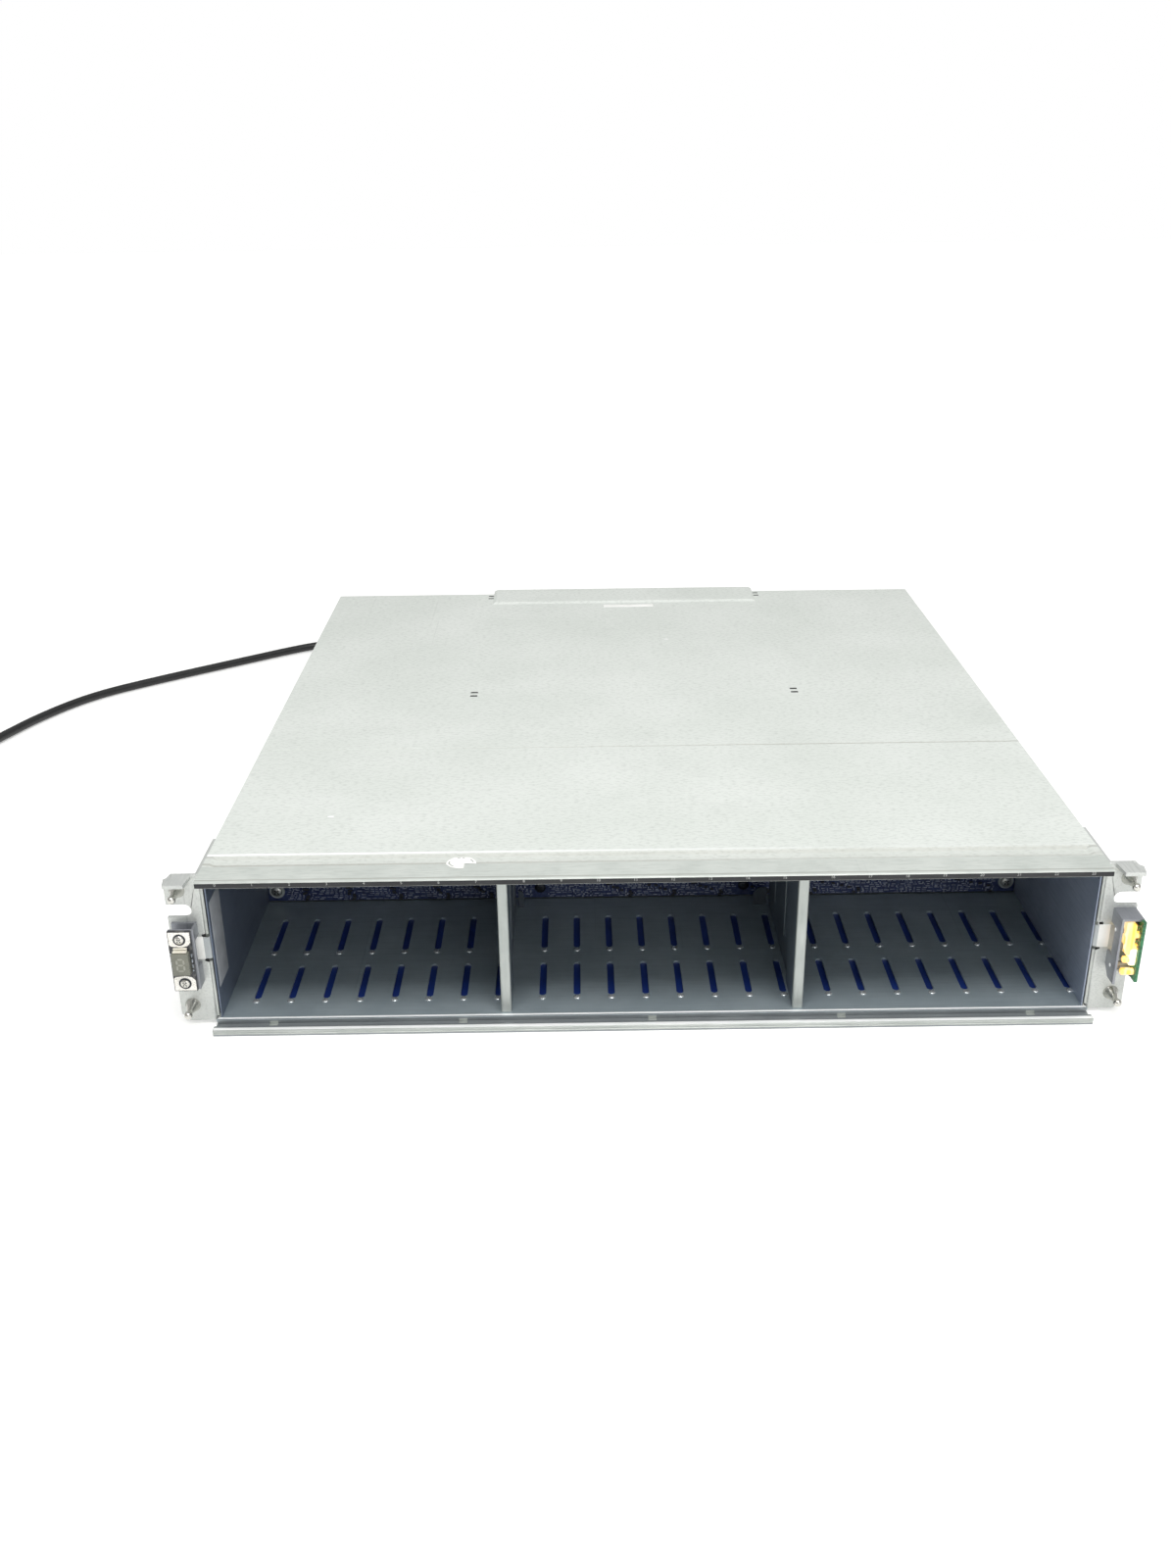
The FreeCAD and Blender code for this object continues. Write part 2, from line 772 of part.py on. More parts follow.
display_outer = ear_half - display_board_inset
display_inner = display_outer - display_board_width
display_back = ear_front - display_stand
display_front = display_back - ear_board_thickness
display_screw_zs = (display_board_z + display_screw_inset,
                    display_board_z + display_board_height - display_screw_inset)
display_mid_x = (display_outer + display_inner) / 2


def display_bracket():
    """Left-hand board bracket: a foot on the ear, a side with a ribbon window and a front seat."""
    side_x = display_inner - ear_bracket_sheet / 2
    foot_y = ear_front - ear_bracket_sheet / 2
    seat_y = display_back + ear_bracket_sheet / 2
    foot = strip([(-display_outer, foot_y), (-side_x, foot_y), (-side_x, seat_y), (-display_outer, seat_y)],
                 ear_bracket_sheet, display_board_z, display_board_z + display_board_height)
    window = box(-ear_half, -half_width, seat_y + ear_bracket_sheet, ear_front + overcut,
                 ribbon_z - ribbon_slot_height / 2, ribbon_z + ribbon_slot_height / 2)
    return foot.cut(window)


def display_board():
    """Small board behind the digit display on the left ear."""
    return box(-display_outer, -display_inner, display_front, display_back,
               display_board_z, display_board_z + display_board_height)


def digit_display():
    """Seven-segment display block."""
    middle = display_board_z + display_board_height / 2
    return box(-display_mid_x - display_width / 2, -display_mid_x + display_width / 2,
               display_front - display_depth, display_front,
               middle - display_height / 2, middle + display_height / 2)


status_front = ear_front - status_board_depth
status_plate_front = ear_front - status_plate_depth
status_post_zs = (status_board_z + display_screw_inset,
                  status_board_z + status_board_height - status_board_chamfer)
status_post_y = ear_front - status_plate_depth / 2


def status_bracket():
    """Right-hand board bracket: a plate that faces the bays, a top flange and two board posts."""
    inner = status_plate_x
    plate = prism([vector(inner, ear_front, status_plate_z + status_plate_chamfer),
                   vector(inner, ear_front, status_top),
                   vector(inner, status_plate_front, status_top),
                   vector(inner, status_plate_front, status_plate_z),
                   vector(inner, ear_front - status_plate_chamfer, status_plate_z)],
                  vector(ear_bracket_sheet, 0, 0))
    flange = box(inner, inner + status_top_flange, status_plate_front, ear_front,
                 status_top - ear_bracket_sheet, status_top)
    window = box(inner - overcut, inner + ear_bracket_sheet + overcut, ear_front - ribbon_slot_reach,
                 ear_front + overcut, ribbon_z - ribbon_slot_height / 2, ribbon_z + ribbon_slot_height / 2)
    post_length = status_board_x - inner - ear_bracket_sheet
    root = inner + ear_bracket_sheet
    posts = [turned([(status_post_radius, -tiny), (status_post_radius, post_length)],
                    vector(root, status_post_y, z), vector(1, 0, 0)) for z in status_post_zs]
    return plate.cut(window).fuse([flange] + posts).removeSplitter()


def status_board():
    """Upright board on the right ear, its upper rear corner cut off."""
    top = status_board_z + status_board_height
    rear = ear_front - neighbour_gap
    return prism([vector(status_board_x, rear, status_board_z),
                  vector(status_board_x, rear, top - status_board_chamfer - ear_bracket_sheet),
                  vector(status_board_x, rear - status_board_chamfer, top - ear_bracket_sheet),
                  vector(status_board_x, status_plate_front - neighbour_gap, top - ear_bracket_sheet),
                  vector(status_board_x, status_plate_front - neighbour_gap, top),
                  vector(status_board_x, status_front, top),
                  vector(status_board_x, status_front, status_board_z)],
                 vector(ear_board_thickness, 0, 0))


def status_lights():
    """Amber light guides on the inner face of the status board."""
    middle = (status_post_zs[0] + status_post_zs[1]) / 2
    y = status_front + 2 * light_guide_radius
    heights = [middle + (index - (light_guide_count - 1) / 2) * light_guide_pitch
               for index in range(light_guide_count)]
    return Part.makeCompound([round_head(light_guide_radius, light_guide_length, vector(status_board_x, y, z),
                                         vector(-1, 0, 0)) for z in heights])


def ear_board_screws():
    """Heads of the screws in the display board, and of those in the status board's posts."""
    seats = [(vector(-display_mid_x, display_front, z), vector(0, -1, 0)) for z in display_screw_zs]
    outer = status_board_x + ear_board_thickness
    seats += [(vector(outer, status_post_y, z), vector(1, 0, 0)) for z in status_post_zs]
    return Part.makeCompound([round_head(ear_screw_head_radius, ear_screw_head_height, place, direction)
                              for place, direction in seats])


def ribbon_cables():
    """Flat ribbon on each ear: from the board over the ear's fold and along the inside of the wall."""
    lie = ear_front - ribbon_thickness / 2
    inside = inner_half - ribbon_thickness / 2
    bend = 2 * ribbon_thickness
    low = ribbon_z - ribbon_height / 2
    high = ribbon_z + ribbon_height / 2
    ribbons = []
    for side, end_x, end_y in ((-1, display_mid_x, display_back + ear_bracket_sheet + neighbour_gap),
                               (1, status_board_x - neighbour_gap, lie)):
        plan = [(end_x, end_y)] if end_y != lie else []
        plan += [(end_x, lie), (inside + bend, lie), (inside, lie + bend), (inside, cage_rear)]
        ribbons.append(strip([(side * x, y) for x, y in plan], ribbon_thickness, low, high))
    return Part.makeCompound(ribbons)


def lugs_and_pin(x, z):
    """Two lugs behind a module's panel with a lever pin across them."""
    root = chassis_depth - tiny
    reach = lever_y + lever_boss_radius
    half = lever_pin_radius + lug_margin
    bevel = half / 2
    outline = [(-half, root), (half, root), (half, reach - bevel), (half - bevel, reach),
               (bevel - half, reach), (-half, reach - bevel)]
    pieces = []
    for low in (z - lug_gap - lug_sheet, z + lever_height + lug_gap):
        pieces.append(prism([vector(x + dx, y, low) for dx, y in outline], vector(0, 0, lug_sheet)))
    pieces.append(rod(lever_pin_radius, vector(x, lever_y, z - lug_gap - lug_sheet), vector(0, 0, 1),
                      lever_height + 2 * (lug_gap + lug_sheet)))
    return pieces


def lever(x, z, length, side):
    """Ejector lever: a bored boss, a flat arm and a finger pull bent away from the panel."""
    half = lever_thickness / 2
    boss = turned([(lever_boss_radius, 0), (lever_boss_radius, lever_height)], vector(x, lever_y, z),
                  vector(0, 0, 1), 12)
    straight = length - lever_finger_length
    arm = prism([vector(x, lever_y - half, z),
                 vector(x + side * straight, lever_y - half, z),
                 vector(x + side * length, lever_y - half + lever_finger_reach, z),
                 vector(x + side * length, lever_y + half + lever_finger_reach, z),
                 vector(x + side * straight, lever_y + half, z),
                 vector(x, lever_y + half, z)], vector(0, 0, lever_height))
    bore = rod(lever_pin_radius + pin_clearance, vector(x, lever_y, z - overcut), vector(0, 0, 1),
               lever_height + 2 * overcut)
    return boss.fuse(arm).removeSplitter().cut(bore)


def power_case(left):
    """Sheet case of a power module, open at the rear, with air slots and a socket cut in front."""
    right = left + power_width
    case = box(left, right, module_front, panel_front, power_bottom, power_top)
    room = box(left + module_sheet, right - module_sheet, module_front + module_sheet, panel_front + overcut,
               power_bottom + module_sheet, power_top - module_sheet)
    middle_x = left + power_width / 2
    middle_z = (power_bottom + power_top) / 2
    half_socket = module_socket_height / 2 + neighbour_gap
    cuts = [room, box(middle_x - power_socket_width / 2, middle_x + power_socket_width / 2,
                      module_front - overcut, module_front + 2 * module_sheet,
                      middle_z - half_socket, middle_z + half_socket)]
    pitch = power_width / (power_vent_count + 1)
    for index in range(power_vent_count):
        x = left + (index + 1) * pitch
        for z in (middle_z - power_vent_height / 2, middle_z + power_vent_height / 2):
            half = (power_vent_height - module_socket_height) / 4
            cuts.append(box(x - power_vent_width / 2, x + power_vent_width / 2, module_front - overcut,
                            module_front + 2 * module_sheet, z - half, z + half))
    return case.cut(cuts)


def power_panel(left):
    """Rear panel of a power module: fan grille, opening for the power entry, lugs for the lever."""
    panel = box(left, left + power_width, panel_front, chassis_depth, power_bottom, power_top)
    grille = []
    for index in range(grille_slots):
        rise = (index - (grille_slots - 1) / 2) * grille_pitch
        reach = math.sqrt(fan_bore ** 2 - (abs(rise) + grille_slot / 2) ** 2)
        for side in (-1, 1):
            ends = sorted((side * grille_bar / 2, side * reach))
            grille.append(box(left + fan_centre + ends[0], left + fan_centre + ends[1], panel_front - overcut,
                              chassis_depth + overcut, fan_z + rise - grille_slot / 2,
                              fan_z + rise + grille_slot / 2))
    entry = entry_opening(left, neighbour_gap, panel_front - overcut, chassis_depth + overcut)
    pivot = left + power_lever_inset
    return panel.cut(grille + [entry]).fuse(lugs_and_pin(pivot, power_lever_z)).removeSplitter()


def entry_opening(left, gap, front, rear):
    """Block of the power entry's body, grown by a gap, between two depths."""
    x0 = left + entry_margin + entry_rim
    x1 = left + entry_margin + entry_flange_width - entry_rim
    top = entry_bottom + entry_flange_height
    return box(x0 - gap, x1 + gap, front, rear, entry_bottom + entry_rim - gap, top - entry_rim + gap)


def inlet_outline(left, gap, y):
    """Six-sided outline of the mains inlet, two corners cut, grown by a gap."""
    x = left + entry_centre
    half = inlet_width / 2 + gap
    low = inlet_z - inlet_height / 2 - gap
    high = inlet_z + inlet_height / 2 + gap
    return [vector(x - half, y, low), vector(x + half, y, low), vector(x + half, y, high - inlet_corner),
            vector(x + half - inlet_corner, y, high), vector(x - half + inlet_corner, y, high),
            vector(x - half, y, high - inlet_corner)]


def inlet_pins(left, gap, length):
    """Three contact pins in the mains inlet, grown by a gap."""
    floor = entry_rear - inlet_depth
    pins = []
    for x, z in ((-pin_spread, 0), (pin_spread, 0), (0, pin_ground_rise)):
        x += left + entry_centre
        z += inlet_z - pin_height / 2
        pins.append(box(x - pin_width / 2 - gap, x + pin_width / 2 + gap, floor, floor + length,
                        z - pin_height / 2 - gap, z + pin_height / 2 + gap))
    return pins


def power_entry(left):
    """Moulded mains inlet and switch housing, snapped into the rear panel."""
    x0 = left + entry_margin
    flange = box(x0, x0 + entry_flange_width, chassis_depth, entry_rear,
                 entry_bottom, entry_bottom + entry_flange_height)
    body = entry_opening(left, 0, entry_rear - entry_body_depth, chassis_depth + tiny)
    socket = prism(inlet_outline(left, 0, entry_rear - inlet_depth), vector(0, inlet_depth + overcut, 0))
    x = left + entry_centre
    well = box(x - switch_width / 2, x + switch_width / 2, entry_rear - switch_depth, entry_rear + overcut,
               switch_z - switch_height / 2, switch_z + switch_height / 2)
    hole = rod(rocker_trunnion_radius + pin_clearance,
               vector(x - switch_width / 2 - rocker_trunnion_length, switch_y, switch_z), vector(1, 0, 0),
               switch_width + 2 * rocker_trunnion_length)
    housing = flange.fuse(body).removeSplitter().cut([socket, well, hole])
    return Part.makeCompound([housing] + inlet_pins(left, 0, pin_length))


def power_rocker(left):
    """Rocker of the mains switch, tipped to its on side, on two short trunnions."""
    x = left + entry_centre
    half = switch_width / 2 - switch_side_gap
    profile = [(rocker_tip, rocker_half_height), (rocker_valley, 0), (rocker_tip, -rocker_half_height),
               (0, -rocker_half_height), (-rocker_root, 0), (0, rocker_half_height)]
    paddle = prism([vector(x - half, switch_y + y, switch_z + z) for y, z in profile],
                   vector(2 * half, 0, 0))
    reach = half + rocker_trunnion_length
    axle = rod(rocker_trunnion_radius, vector(x - reach, switch_y, switch_z), vector(1, 0, 0), 2 * reach)
    rocker = paddle.fuse(axle).removeSplitter()
    rocker.rotate(vector(x, switch_y, switch_z), vector(1, 0, 0), rocker_tilt)
    return rocker


def fan_frame(left):
    """Square fan housing with a bored motor boss on four struts."""
    x = left + fan_centre
    half = fan_size / 2
    front = vector(x, fan_front, fan_z)
    housing = box(x - half, x + half, fan_front, panel_front, fan_z - half, fan_z + half)
    housing = housing.cut(turned([(fan_bore, 0), (fan_bore, fan_depth)], front, vector(0, 1, 0), 20))
    boss = turned([(fan_boss_radius, 0), (fan_boss_radius, fan_boss_depth)], front, vector(0, 1, 0), 12)
    strut = fan_strut_width / 2
    struts = [box(x - fan_bore - overcut / 2, x + fan_bore + overcut / 2, fan_front,
                  fan_front + fan_boss_depth / 2, fan_z - strut, fan_z + strut),
              box(x - strut, x + strut, fan_front, fan_front + fan_boss_depth / 2,
                  fan_z - fan_bore - overcut / 2, fan_z + fan_bore + overcut / 2)]
    bore = rod(rotor_shaft_radius + pin_clearance, front, vector(0, 1, 0), fan_boss_depth)
    return housing.fuse([boss] + struts).removeSplitter().cut(bore)


def fan_rotor(left):
    """Fan hub with slanted blades, on a shaft that runs in the frame's boss."""
    start = fan_front + fan_boss_depth + rotor_end_gap
    length = panel_front - rotor_end_gap - start
    base = vector(0, 0, 0)
    hub = turned([(rotor_hub_radius, 0), (rotor_hub_radius, length)], base, vector(0, 1, 0), 2 * rotor_blades)
    front = rotor_end_gap
    rear = length - rotor_end_gap
    lean = (rear - front) / 2 * math.tan(math.radians(blade_angle))
    skin = blade_thickness / 2 / math.cos(math.radians(blade_angle))
    root = rotor_hub_radius - overcut
    tip = math.sqrt((fan_bore - rotor_tip_gap) ** 2 - (lean + skin) ** 2)
    outline = [(front, -lean - skin), (front, skin - lean), (rear, lean + skin), (rear, lean - skin)]
    blade = prism([vector(root, y, z) for y, z in outline], vector(tip - root, 0, 0))
    blades = []
    for index in range(rotor_blades):
        turned_blade = blade.copy()
        turned_blade.rotate(base, vector(0, 1, 0), 360 * index / rotor_blades)
        blades.append(turned_blade)
    shaft_length = fan_boss_depth + rotor_end_gap
    shaft = rod(rotor_shaft_radius, vector(0, -shaft_length, 0), vector(0, 1, 0), shaft_length + overcut)
    rotor = hub.fuse(blades + [shaft]).removeSplitter()
    return rotor.translated(vector(left + fan_centre, start, fan_z))


def power_lever(left):
    """Ejector lever across the top of a power module."""
    return lever(left + power_lever_inset, power_lever_z, power_lever_length, 1)


def port_blocks(bottom, gap):
    """Left X, right X, low Z, high Z and depth of each port of a controller, grown by a gap."""
    left = -control_module_width / 2
    middle = bottom + port_rise
    blocks = []
    for x in cable_port_xs:
        blocks.append((left + x, cable_port_width, cable_port_height, cable_port_depth))
    blocks.append((left + network_port_x, network_port_width, network_port_height, network_port_depth))
    return [(x - width / 2 - gap, x + width / 2 + gap, middle - height / 2 - gap, middle + height / 2 + gap,
             depth) for x, width, height, depth in blocks]


def control_case(bottom):
    """Sheet case of a controller module, open at the rear, with a socket cut in front."""
    half = control_module_width / 2
    case = box(-half, half, module_front, panel_front, bottom, bottom + control_height)
    room = box(-half + module_sheet, half - module_sheet, module_front + module_sheet, panel_front + overcut,
               bottom + module_sheet, bottom + control_height - module_sheet)
    middle = bottom + control_height / 2
    half_socket = module_socket_height / 2 + neighbour_gap
    cut = box(-control_socket_width / 2, control_socket_width / 2, module_front - overcut,
              module_front + 2 * module_sheet, middle - half_socket, middle + half_socket)
    return case.cut([room, cut])


def control_panel(bottom):
    """Rear panel of a controller: port openings, a row of air slots and two pairs of lugs."""
    half = control_module_width / 2
    panel = box(-half, half, panel_front, chassis_depth, bottom, bottom + control_height)
    cuts = [box(x0, x1, panel_front - overcut, chassis_depth + overcut, z0, z1)
            for x0, x1, z0, z1, depth in port_blocks(bottom, port_cut_gap)]
    middle = bottom + port_rise
    for index in range(control_vent_count):
        x = -half + control_vent_start + index * control_vent_pitch
        cuts.append(box(x - control_vent_width / 2, x + control_vent_width / 2, panel_front - overcut,
                        chassis_depth + overcut, middle - control_vent_height / 2,
                        middle + control_vent_height / 2))
    z = bottom + control_lever_lift
    lugs = lugs_and_pin(-half + control_lever_inset, z) + lugs_and_pin(half - control_lever_inset, z)
    return panel.cut(cuts).fuse(lugs).removeSplitter()


def control_board(bottom):
    """Circuit board inside a controller, on the floor posts of its case."""
    half = control_module_width / 2 - module_sheet - neighbour_gap
    low = bottom + control_board_lift
    rear = panel_front - neighbour_gap
    board = box(-half, half, rear - control_board_depth, rear, low, low + control_board_thickness)
    inset = 3 * screw_head_radius
    posts = []
    for x in (-half + inset, half - inset):
        for y in (rear - control_board_depth + inset, rear - inset):
            posts.append(box(x - screw_head_radius, x + screw_head_radius, y - screw_head_radius,
                             y + screw_head_radius, bottom + module_sheet, low + tiny))
    return board.fuse(posts).removeSplitter()


def control_ports(bottom):
    """Port cages that stand on the controller's board and show through its panel."""
    foot = bottom + control_board_lift + control_board_thickness
    rear = chassis_depth + port_flange
    ports = []
    for x0, x1, z0, z1, depth in port_blocks(bottom, 0):
        cage = box(x0, x1, rear - depth, rear, z0, z1)
        leg = box(x0, x1, rear - depth, panel_front - port_flange, foot, z0 + tiny)
        mouth = box(x0 + port_wall, x1 - port_wall, rear - depth + port_wall, rear + overcut,
                    z0 + port_wall, z1 - port_wall)
        ports.append(cage.cut(mouth).fuse(leg).removeSplitter())
    return Part.makeCompound(ports)


def control_lever(bottom, side):
    """Ejector lever at one end of a controller's panel."""
    pivot = side * (control_module_width / 2 - control_lever_inset)
    return lever(pivot, bottom + control_lever_lift, control_lever_length, -side)


def cord_connector():
    """Mains connector in the left power module's inlet, with a tapered strain relief."""
    left = power_places["left"]
    floor = entry_rear - inlet_depth + connector_nose_gap
    nose = prism(inlet_outline(left, -connector_nose_gap, floor),
                 vector(0, entry_rear + tiny - floor, 0))
    nose = nose.cut(inlet_pins(left, contact_clearance, pin_length + connector_nose_gap))
    half = connector_body_width / 2
    tall = connector_body_height / 2
    body = box(connector_x - half, connector_x + half, entry_rear, entry_rear + connector_body_length,
               inlet_z - tall, inlet_z + tall)
    body = body.makeChamfer(relief_root_radius / 2, [edge for edge in body.Edges if along_y(edge.BoundBox)])
    relief = turned([(relief_root_radius, -tiny), (cord_radius + neighbour_gap, relief_length)],
                    vector(connector_x, entry_rear + connector_body_length, inlet_z), vector(0, 1, 0), 12)
    return body.fuse([nose, relief]).removeSplitter()


def beside_cord(shift):
    """X and Y of a place given by its shift from the end of the strain relief."""
    return connector_x + shift[0], relief_end + shift[1]


def cord_route():
    """Middle line of the free cord, from the strain relief to the coil."""
    start = vector(connector_x, relief_end, inlet_z)
    points = [start, start + vector(0, cord_first_run, 0)]
    points += [vector(*beside_cord(shift), shift[2]) for shift in cord_shifts]
    return points


def power_cord():
    """Free stretch of the mains cord: straight runs joined by tangent arcs as wide as the runs allow."""
    points = cord_route()
    section = flat(ring_of_points(cord_radius, 0, cord_sides))
    area = section.Area
    section.Placement = FreeCAD.Placement(points[0], FreeCAD.Rotation(vector(0, 0, 1), vector(0, 1, 0)))
    start = points[0]
    pieces = []
    radii = []
    length = 0
    for before, corner, after in zip(points, points[1:], points[2:]):
        into = (corner - before).normalize()
        out = (after - corner).normalize()
        turn = into.getAngle(out)
        back = 0.45 * min((corner - before).Length, (after - corner).Length)
        radius = back / math.tan(turn / 2)
        run = corner - into * back - start
        pieces.append(section.extrude(run))
        section = section.translated(run)
        axis = into.cross(out).normalize()
        centre = start + run + axis.cross(into) * radius
        pieces.append(section.revolve(centre, axis, math.degrees(turn)))
        section = section.copy()
        section.rotate(centre, axis, math.degrees(turn))
        start = corner + out * back
        radii.append(radius)
        length += run.Length + radius * turn
    pieces.append(section.extrude(points[-1] - start))
    length += (points[-1] - start).Length
    tube = pieces[0].fuse(pieces[1:]).removeSplitter()
    print("cord bend radii", [round(radius) for radius in radii], "length", round(length))
    print("cord volume", round(tube.Volume), "section times length", round(area * length))
    return tube


def power_cord_coil():
    """Outer shape of the coiled rest of the cord."""
    outer = coil_mean_radius + coil_half_width
    inner = coil_mean_radius - coil_half_width
    place = vector(*beside_cord(coil_shift), 0)
    ring = turned([(outer, 0), (outer, coil_height)], place, vector(0, 0, 1), 24)
    return ring.cut(turned([(inner, -overcut), (inner, coil_height + overcut)], place, vector(0, 0, 1), 24))


def cord_plug():
    """Three-pin mains plug at the far end, lying beside the coil."""
    x, y = beside_cord(plug_shift)
    z = plug_rise
    half = plug_width / 2
    tall = plug_height / 2
    body = box(x - half, x + half, y - plug_length, y, z - tall, z + tall)
    body = body.makeChamfer(relief_root_radius / 2, [edge for edge in body.Edges if along_y(edge.BoundBox)])
    neck = turned([(relief_root_radius, -tiny), (cord_radius + neighbour_gap, plug_neck_length)],
                  vector(x, y, z), vector(0, 1, 0), 12)
    tail = turned([(cord_radius, -tiny), (cord_radius, plug_tail_length)], vector(x, y + plug_neck_length, z),
                  vector(0, 1, 0), 12)
    face = y - plug_length
    thin = plug_pin_thickness / 2
    low = z + plug_pin_spread / 2 - plug_pin_width / 2
    blades = [box(x + shift - thin, x + shift + thin, face - plug_pin_length, face + tiny,
                  low, low + plug_pin_width) for shift in (-plug_pin_spread, plug_pin_spread)]
    ground = turned([(plug_ground_radius, -tiny), (plug_ground_radius, plug_pin_length)],
                    vector(x, face, z - plug_pin_spread), vector(0, -1, 0))
    return body.fuse([neck, tail, ground] + blades).removeSplitter()


def write(name, shape):
    """Save one node."""
    shape.exportStep(f"parts/{name}.step")


def build():
    """Make every node of the storage array."""
    write("base_pan", base_pan())
    write("top_cover", top_cover())
    write("front_top_rail", front_top_rail())
    write("bay_floor", bay_floor())
    write("bay_floor_film", bay_floor_film())
    write("bay_ceiling", bay_ceiling())
    for name, x in zip(("left_bay_partition", "right_bay_partition"), partition_xs()):
        write(name, bay_partition(x))
    write("left_cage_side", cage_side(-1))
    write("right_cage_side", cage_side(1))
    write("midplane_board", midplane_board())
    write("midplane_drive_sockets", midplane_drive_sockets())
    write("midplane_module_sockets", midplane_module_sockets())
    write("midplane_frame", midplane_frame())
    write("midplane_screws", midplane_screws())
    write("left_module_wall", module_wall(-1))
    write("right_module_wall", module_wall(1))
    write("module_shelf", module_shelf())
    write("right_ear", rack_ear())
    write("left_ear", mirrored(rack_ear()))
    write("ear_studs", ear_studs())
    write("ear_rivets", ear_rivets())
    write("display_bracket", display_bracket())
    write("display_board", display_board())
    write("digit_display", digit_display())
    write("status_bracket", status_bracket())
    write("status_board", status_board())
    write("status_lights", status_lights())
    write("ear_board_screws", ear_board_screws())
    write("ribbon_cables", ribbon_cables())
    for side, left in power_places.items():
        write(f"{side}_power_case", power_case(left))
        write(f"{side}_power_panel", power_panel(left))
        write(f"{side}_power_entry", power_entry(left))
        write(f"{side}_power_rocker", power_rocker(left))
        write(f"{side}_power_fan_frame", fan_frame(left))
        write(f"{side}_power_fan_rotor", fan_rotor(left))
        write(f"{side}_power_lever", power_lever(left))
    for level, bottom in control_places.items():
        write(f"{level}_control_case", control_case(bottom))
        write(f"{level}_control_panel", control_panel(bottom))
        write(f"{level}_control_board", control_board(bottom))
        write(f"{level}_control_ports", control_ports(bottom))
        write(f"{level}_control_left_lever", control_lever(bottom, -1))
        write(f"{level}_control_right_lever", control_lever(bottom, 1))
    write("cord_connector", cord_connector())
    write("power_cord", power_cord())
    write("power_cord_coil", power_cord_coil())
    write("cord_plug", cord_plug())


os.makedirs("parts", exist_ok=True)
build()
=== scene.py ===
"""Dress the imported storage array: its finishes, small fittings, mains cord, light and camera."""
import logging
import math
from dataclasses import dataclass, field, replace
from enum import Enum
from itertools import product
from typing import NamedTuple, Optional, Sequence, Union

import bmesh
import bpy
from mathutils import Matrix, Vector


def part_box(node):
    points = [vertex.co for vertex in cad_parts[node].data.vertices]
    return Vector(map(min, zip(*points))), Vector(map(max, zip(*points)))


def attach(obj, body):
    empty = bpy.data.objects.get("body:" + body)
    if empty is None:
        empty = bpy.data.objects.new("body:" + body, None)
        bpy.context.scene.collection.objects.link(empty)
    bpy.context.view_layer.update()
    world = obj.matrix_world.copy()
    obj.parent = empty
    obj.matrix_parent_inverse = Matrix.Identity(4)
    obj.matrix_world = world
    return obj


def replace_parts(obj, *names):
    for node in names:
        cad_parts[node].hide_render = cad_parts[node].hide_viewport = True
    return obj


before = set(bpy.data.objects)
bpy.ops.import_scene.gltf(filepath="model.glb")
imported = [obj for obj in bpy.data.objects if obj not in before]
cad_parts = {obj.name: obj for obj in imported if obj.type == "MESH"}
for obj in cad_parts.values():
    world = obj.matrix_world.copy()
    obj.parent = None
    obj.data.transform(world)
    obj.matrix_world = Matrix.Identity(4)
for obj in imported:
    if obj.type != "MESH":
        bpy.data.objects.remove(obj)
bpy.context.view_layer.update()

LOG = logging.getLogger("storage_array")
Pair = tuple[float, float]
Point = tuple[float, float, float]
Colour = tuple[float, float, float, float]
Key = Union[str, int]
Setting = Union[float, int, str, bool, Sequence[float], Sequence[tuple[float, Colour]]]
Tree, Node, Socket = bpy.types.NodeTree, bpy.types.Node, bpy.types.NodeSocket
Corner, Piece = bmesh.types.BMVert, bpy.types.Object


class Box(NamedTuple):
    """Lowest and highest corners of a block or of a CAD node at rest, in millimetres."""

    low: Point
    high: Point

    def middle(self, axis: int) -> float:
        """Return the middle along an axis."""
        return (self.low[axis] + self.high[axis]) / 2

    def half(self, axis: int) -> float:
        """Return half the size along an axis."""
        return (self.high[axis] - self.low[axis]) / 2


MM = 0.001


def box_of(node: str) -> Box:
    """Return a CAD node's box in millimetres."""
    low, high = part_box(node)
    return Box(tuple(v / MM for v in low), tuple(v / MM for v in high))


FRONT, REAR, UP = (0, -1, 0), (0, 1, 0), (0, 0, 1)
SHEET_MM = 1.2
SUNK = 0.02  # A part sits this deep in its seat, so that no gap shows.
COAT = 0.04  # A skin over a sheet, such as painted shade or a painted highlight, stands this far off it.
BAYS_IN_GROUP = 8
PAN, RAIL, BAY_FLOOR = box_of("base_pan"), box_of("front_top_rail"), box_of("bay_floor")
LEFT_PARTITION, RIGHT_PARTITION = box_of("left_bay_partition"), box_of("right_bay_partition")
BOARD, DRIVE_SOCKETS = box_of("midplane_board"), box_of("midplane_drive_sockets")
DISPLAY_BOARD, DIGITS = box_of("display_board"), box_of("digit_display")
STATUS_BOARD, GUIDES, CABLES = box_of("status_board"), box_of("status_lights"), box_of("ribbon_cables")
TOP_MM = PAN.high[2] + SHEET_MM


class Spoken(Enum):
    """Choices whose names are part of the nodes' names."""

    @property
    def word(self) -> str:
        """The choice as the nodes spell it."""
        return self.name.lower()


class Side(Spoken):
    """Left or right seen from the front, with its sign along X."""

    LEFT = -1
    RIGHT = 1


class Level(Spoken):
    """Lower or upper controller, with the height of its underside in millimetres."""

    LOWER = 1.6
    UPPER = 44.5


class Slot(Enum):
    """Material slots of the record; each new piece holds one, and its finish is given apart from it."""

    SHEET = "zinc_steel"
    EAR = "ear_steel"
    SCREW = "bright_screw"
    PORT = "port_steel"
    DARK_BOARD = "dark_board"
    GREEN_BOARD = "green_board"
    PLASTIC = "black_plastic"
    DISPLAY = "display_block"
    LIGHT = "amber_guide"
    RIBBON = "ribbon"
    RUBBER = "black_rubber"


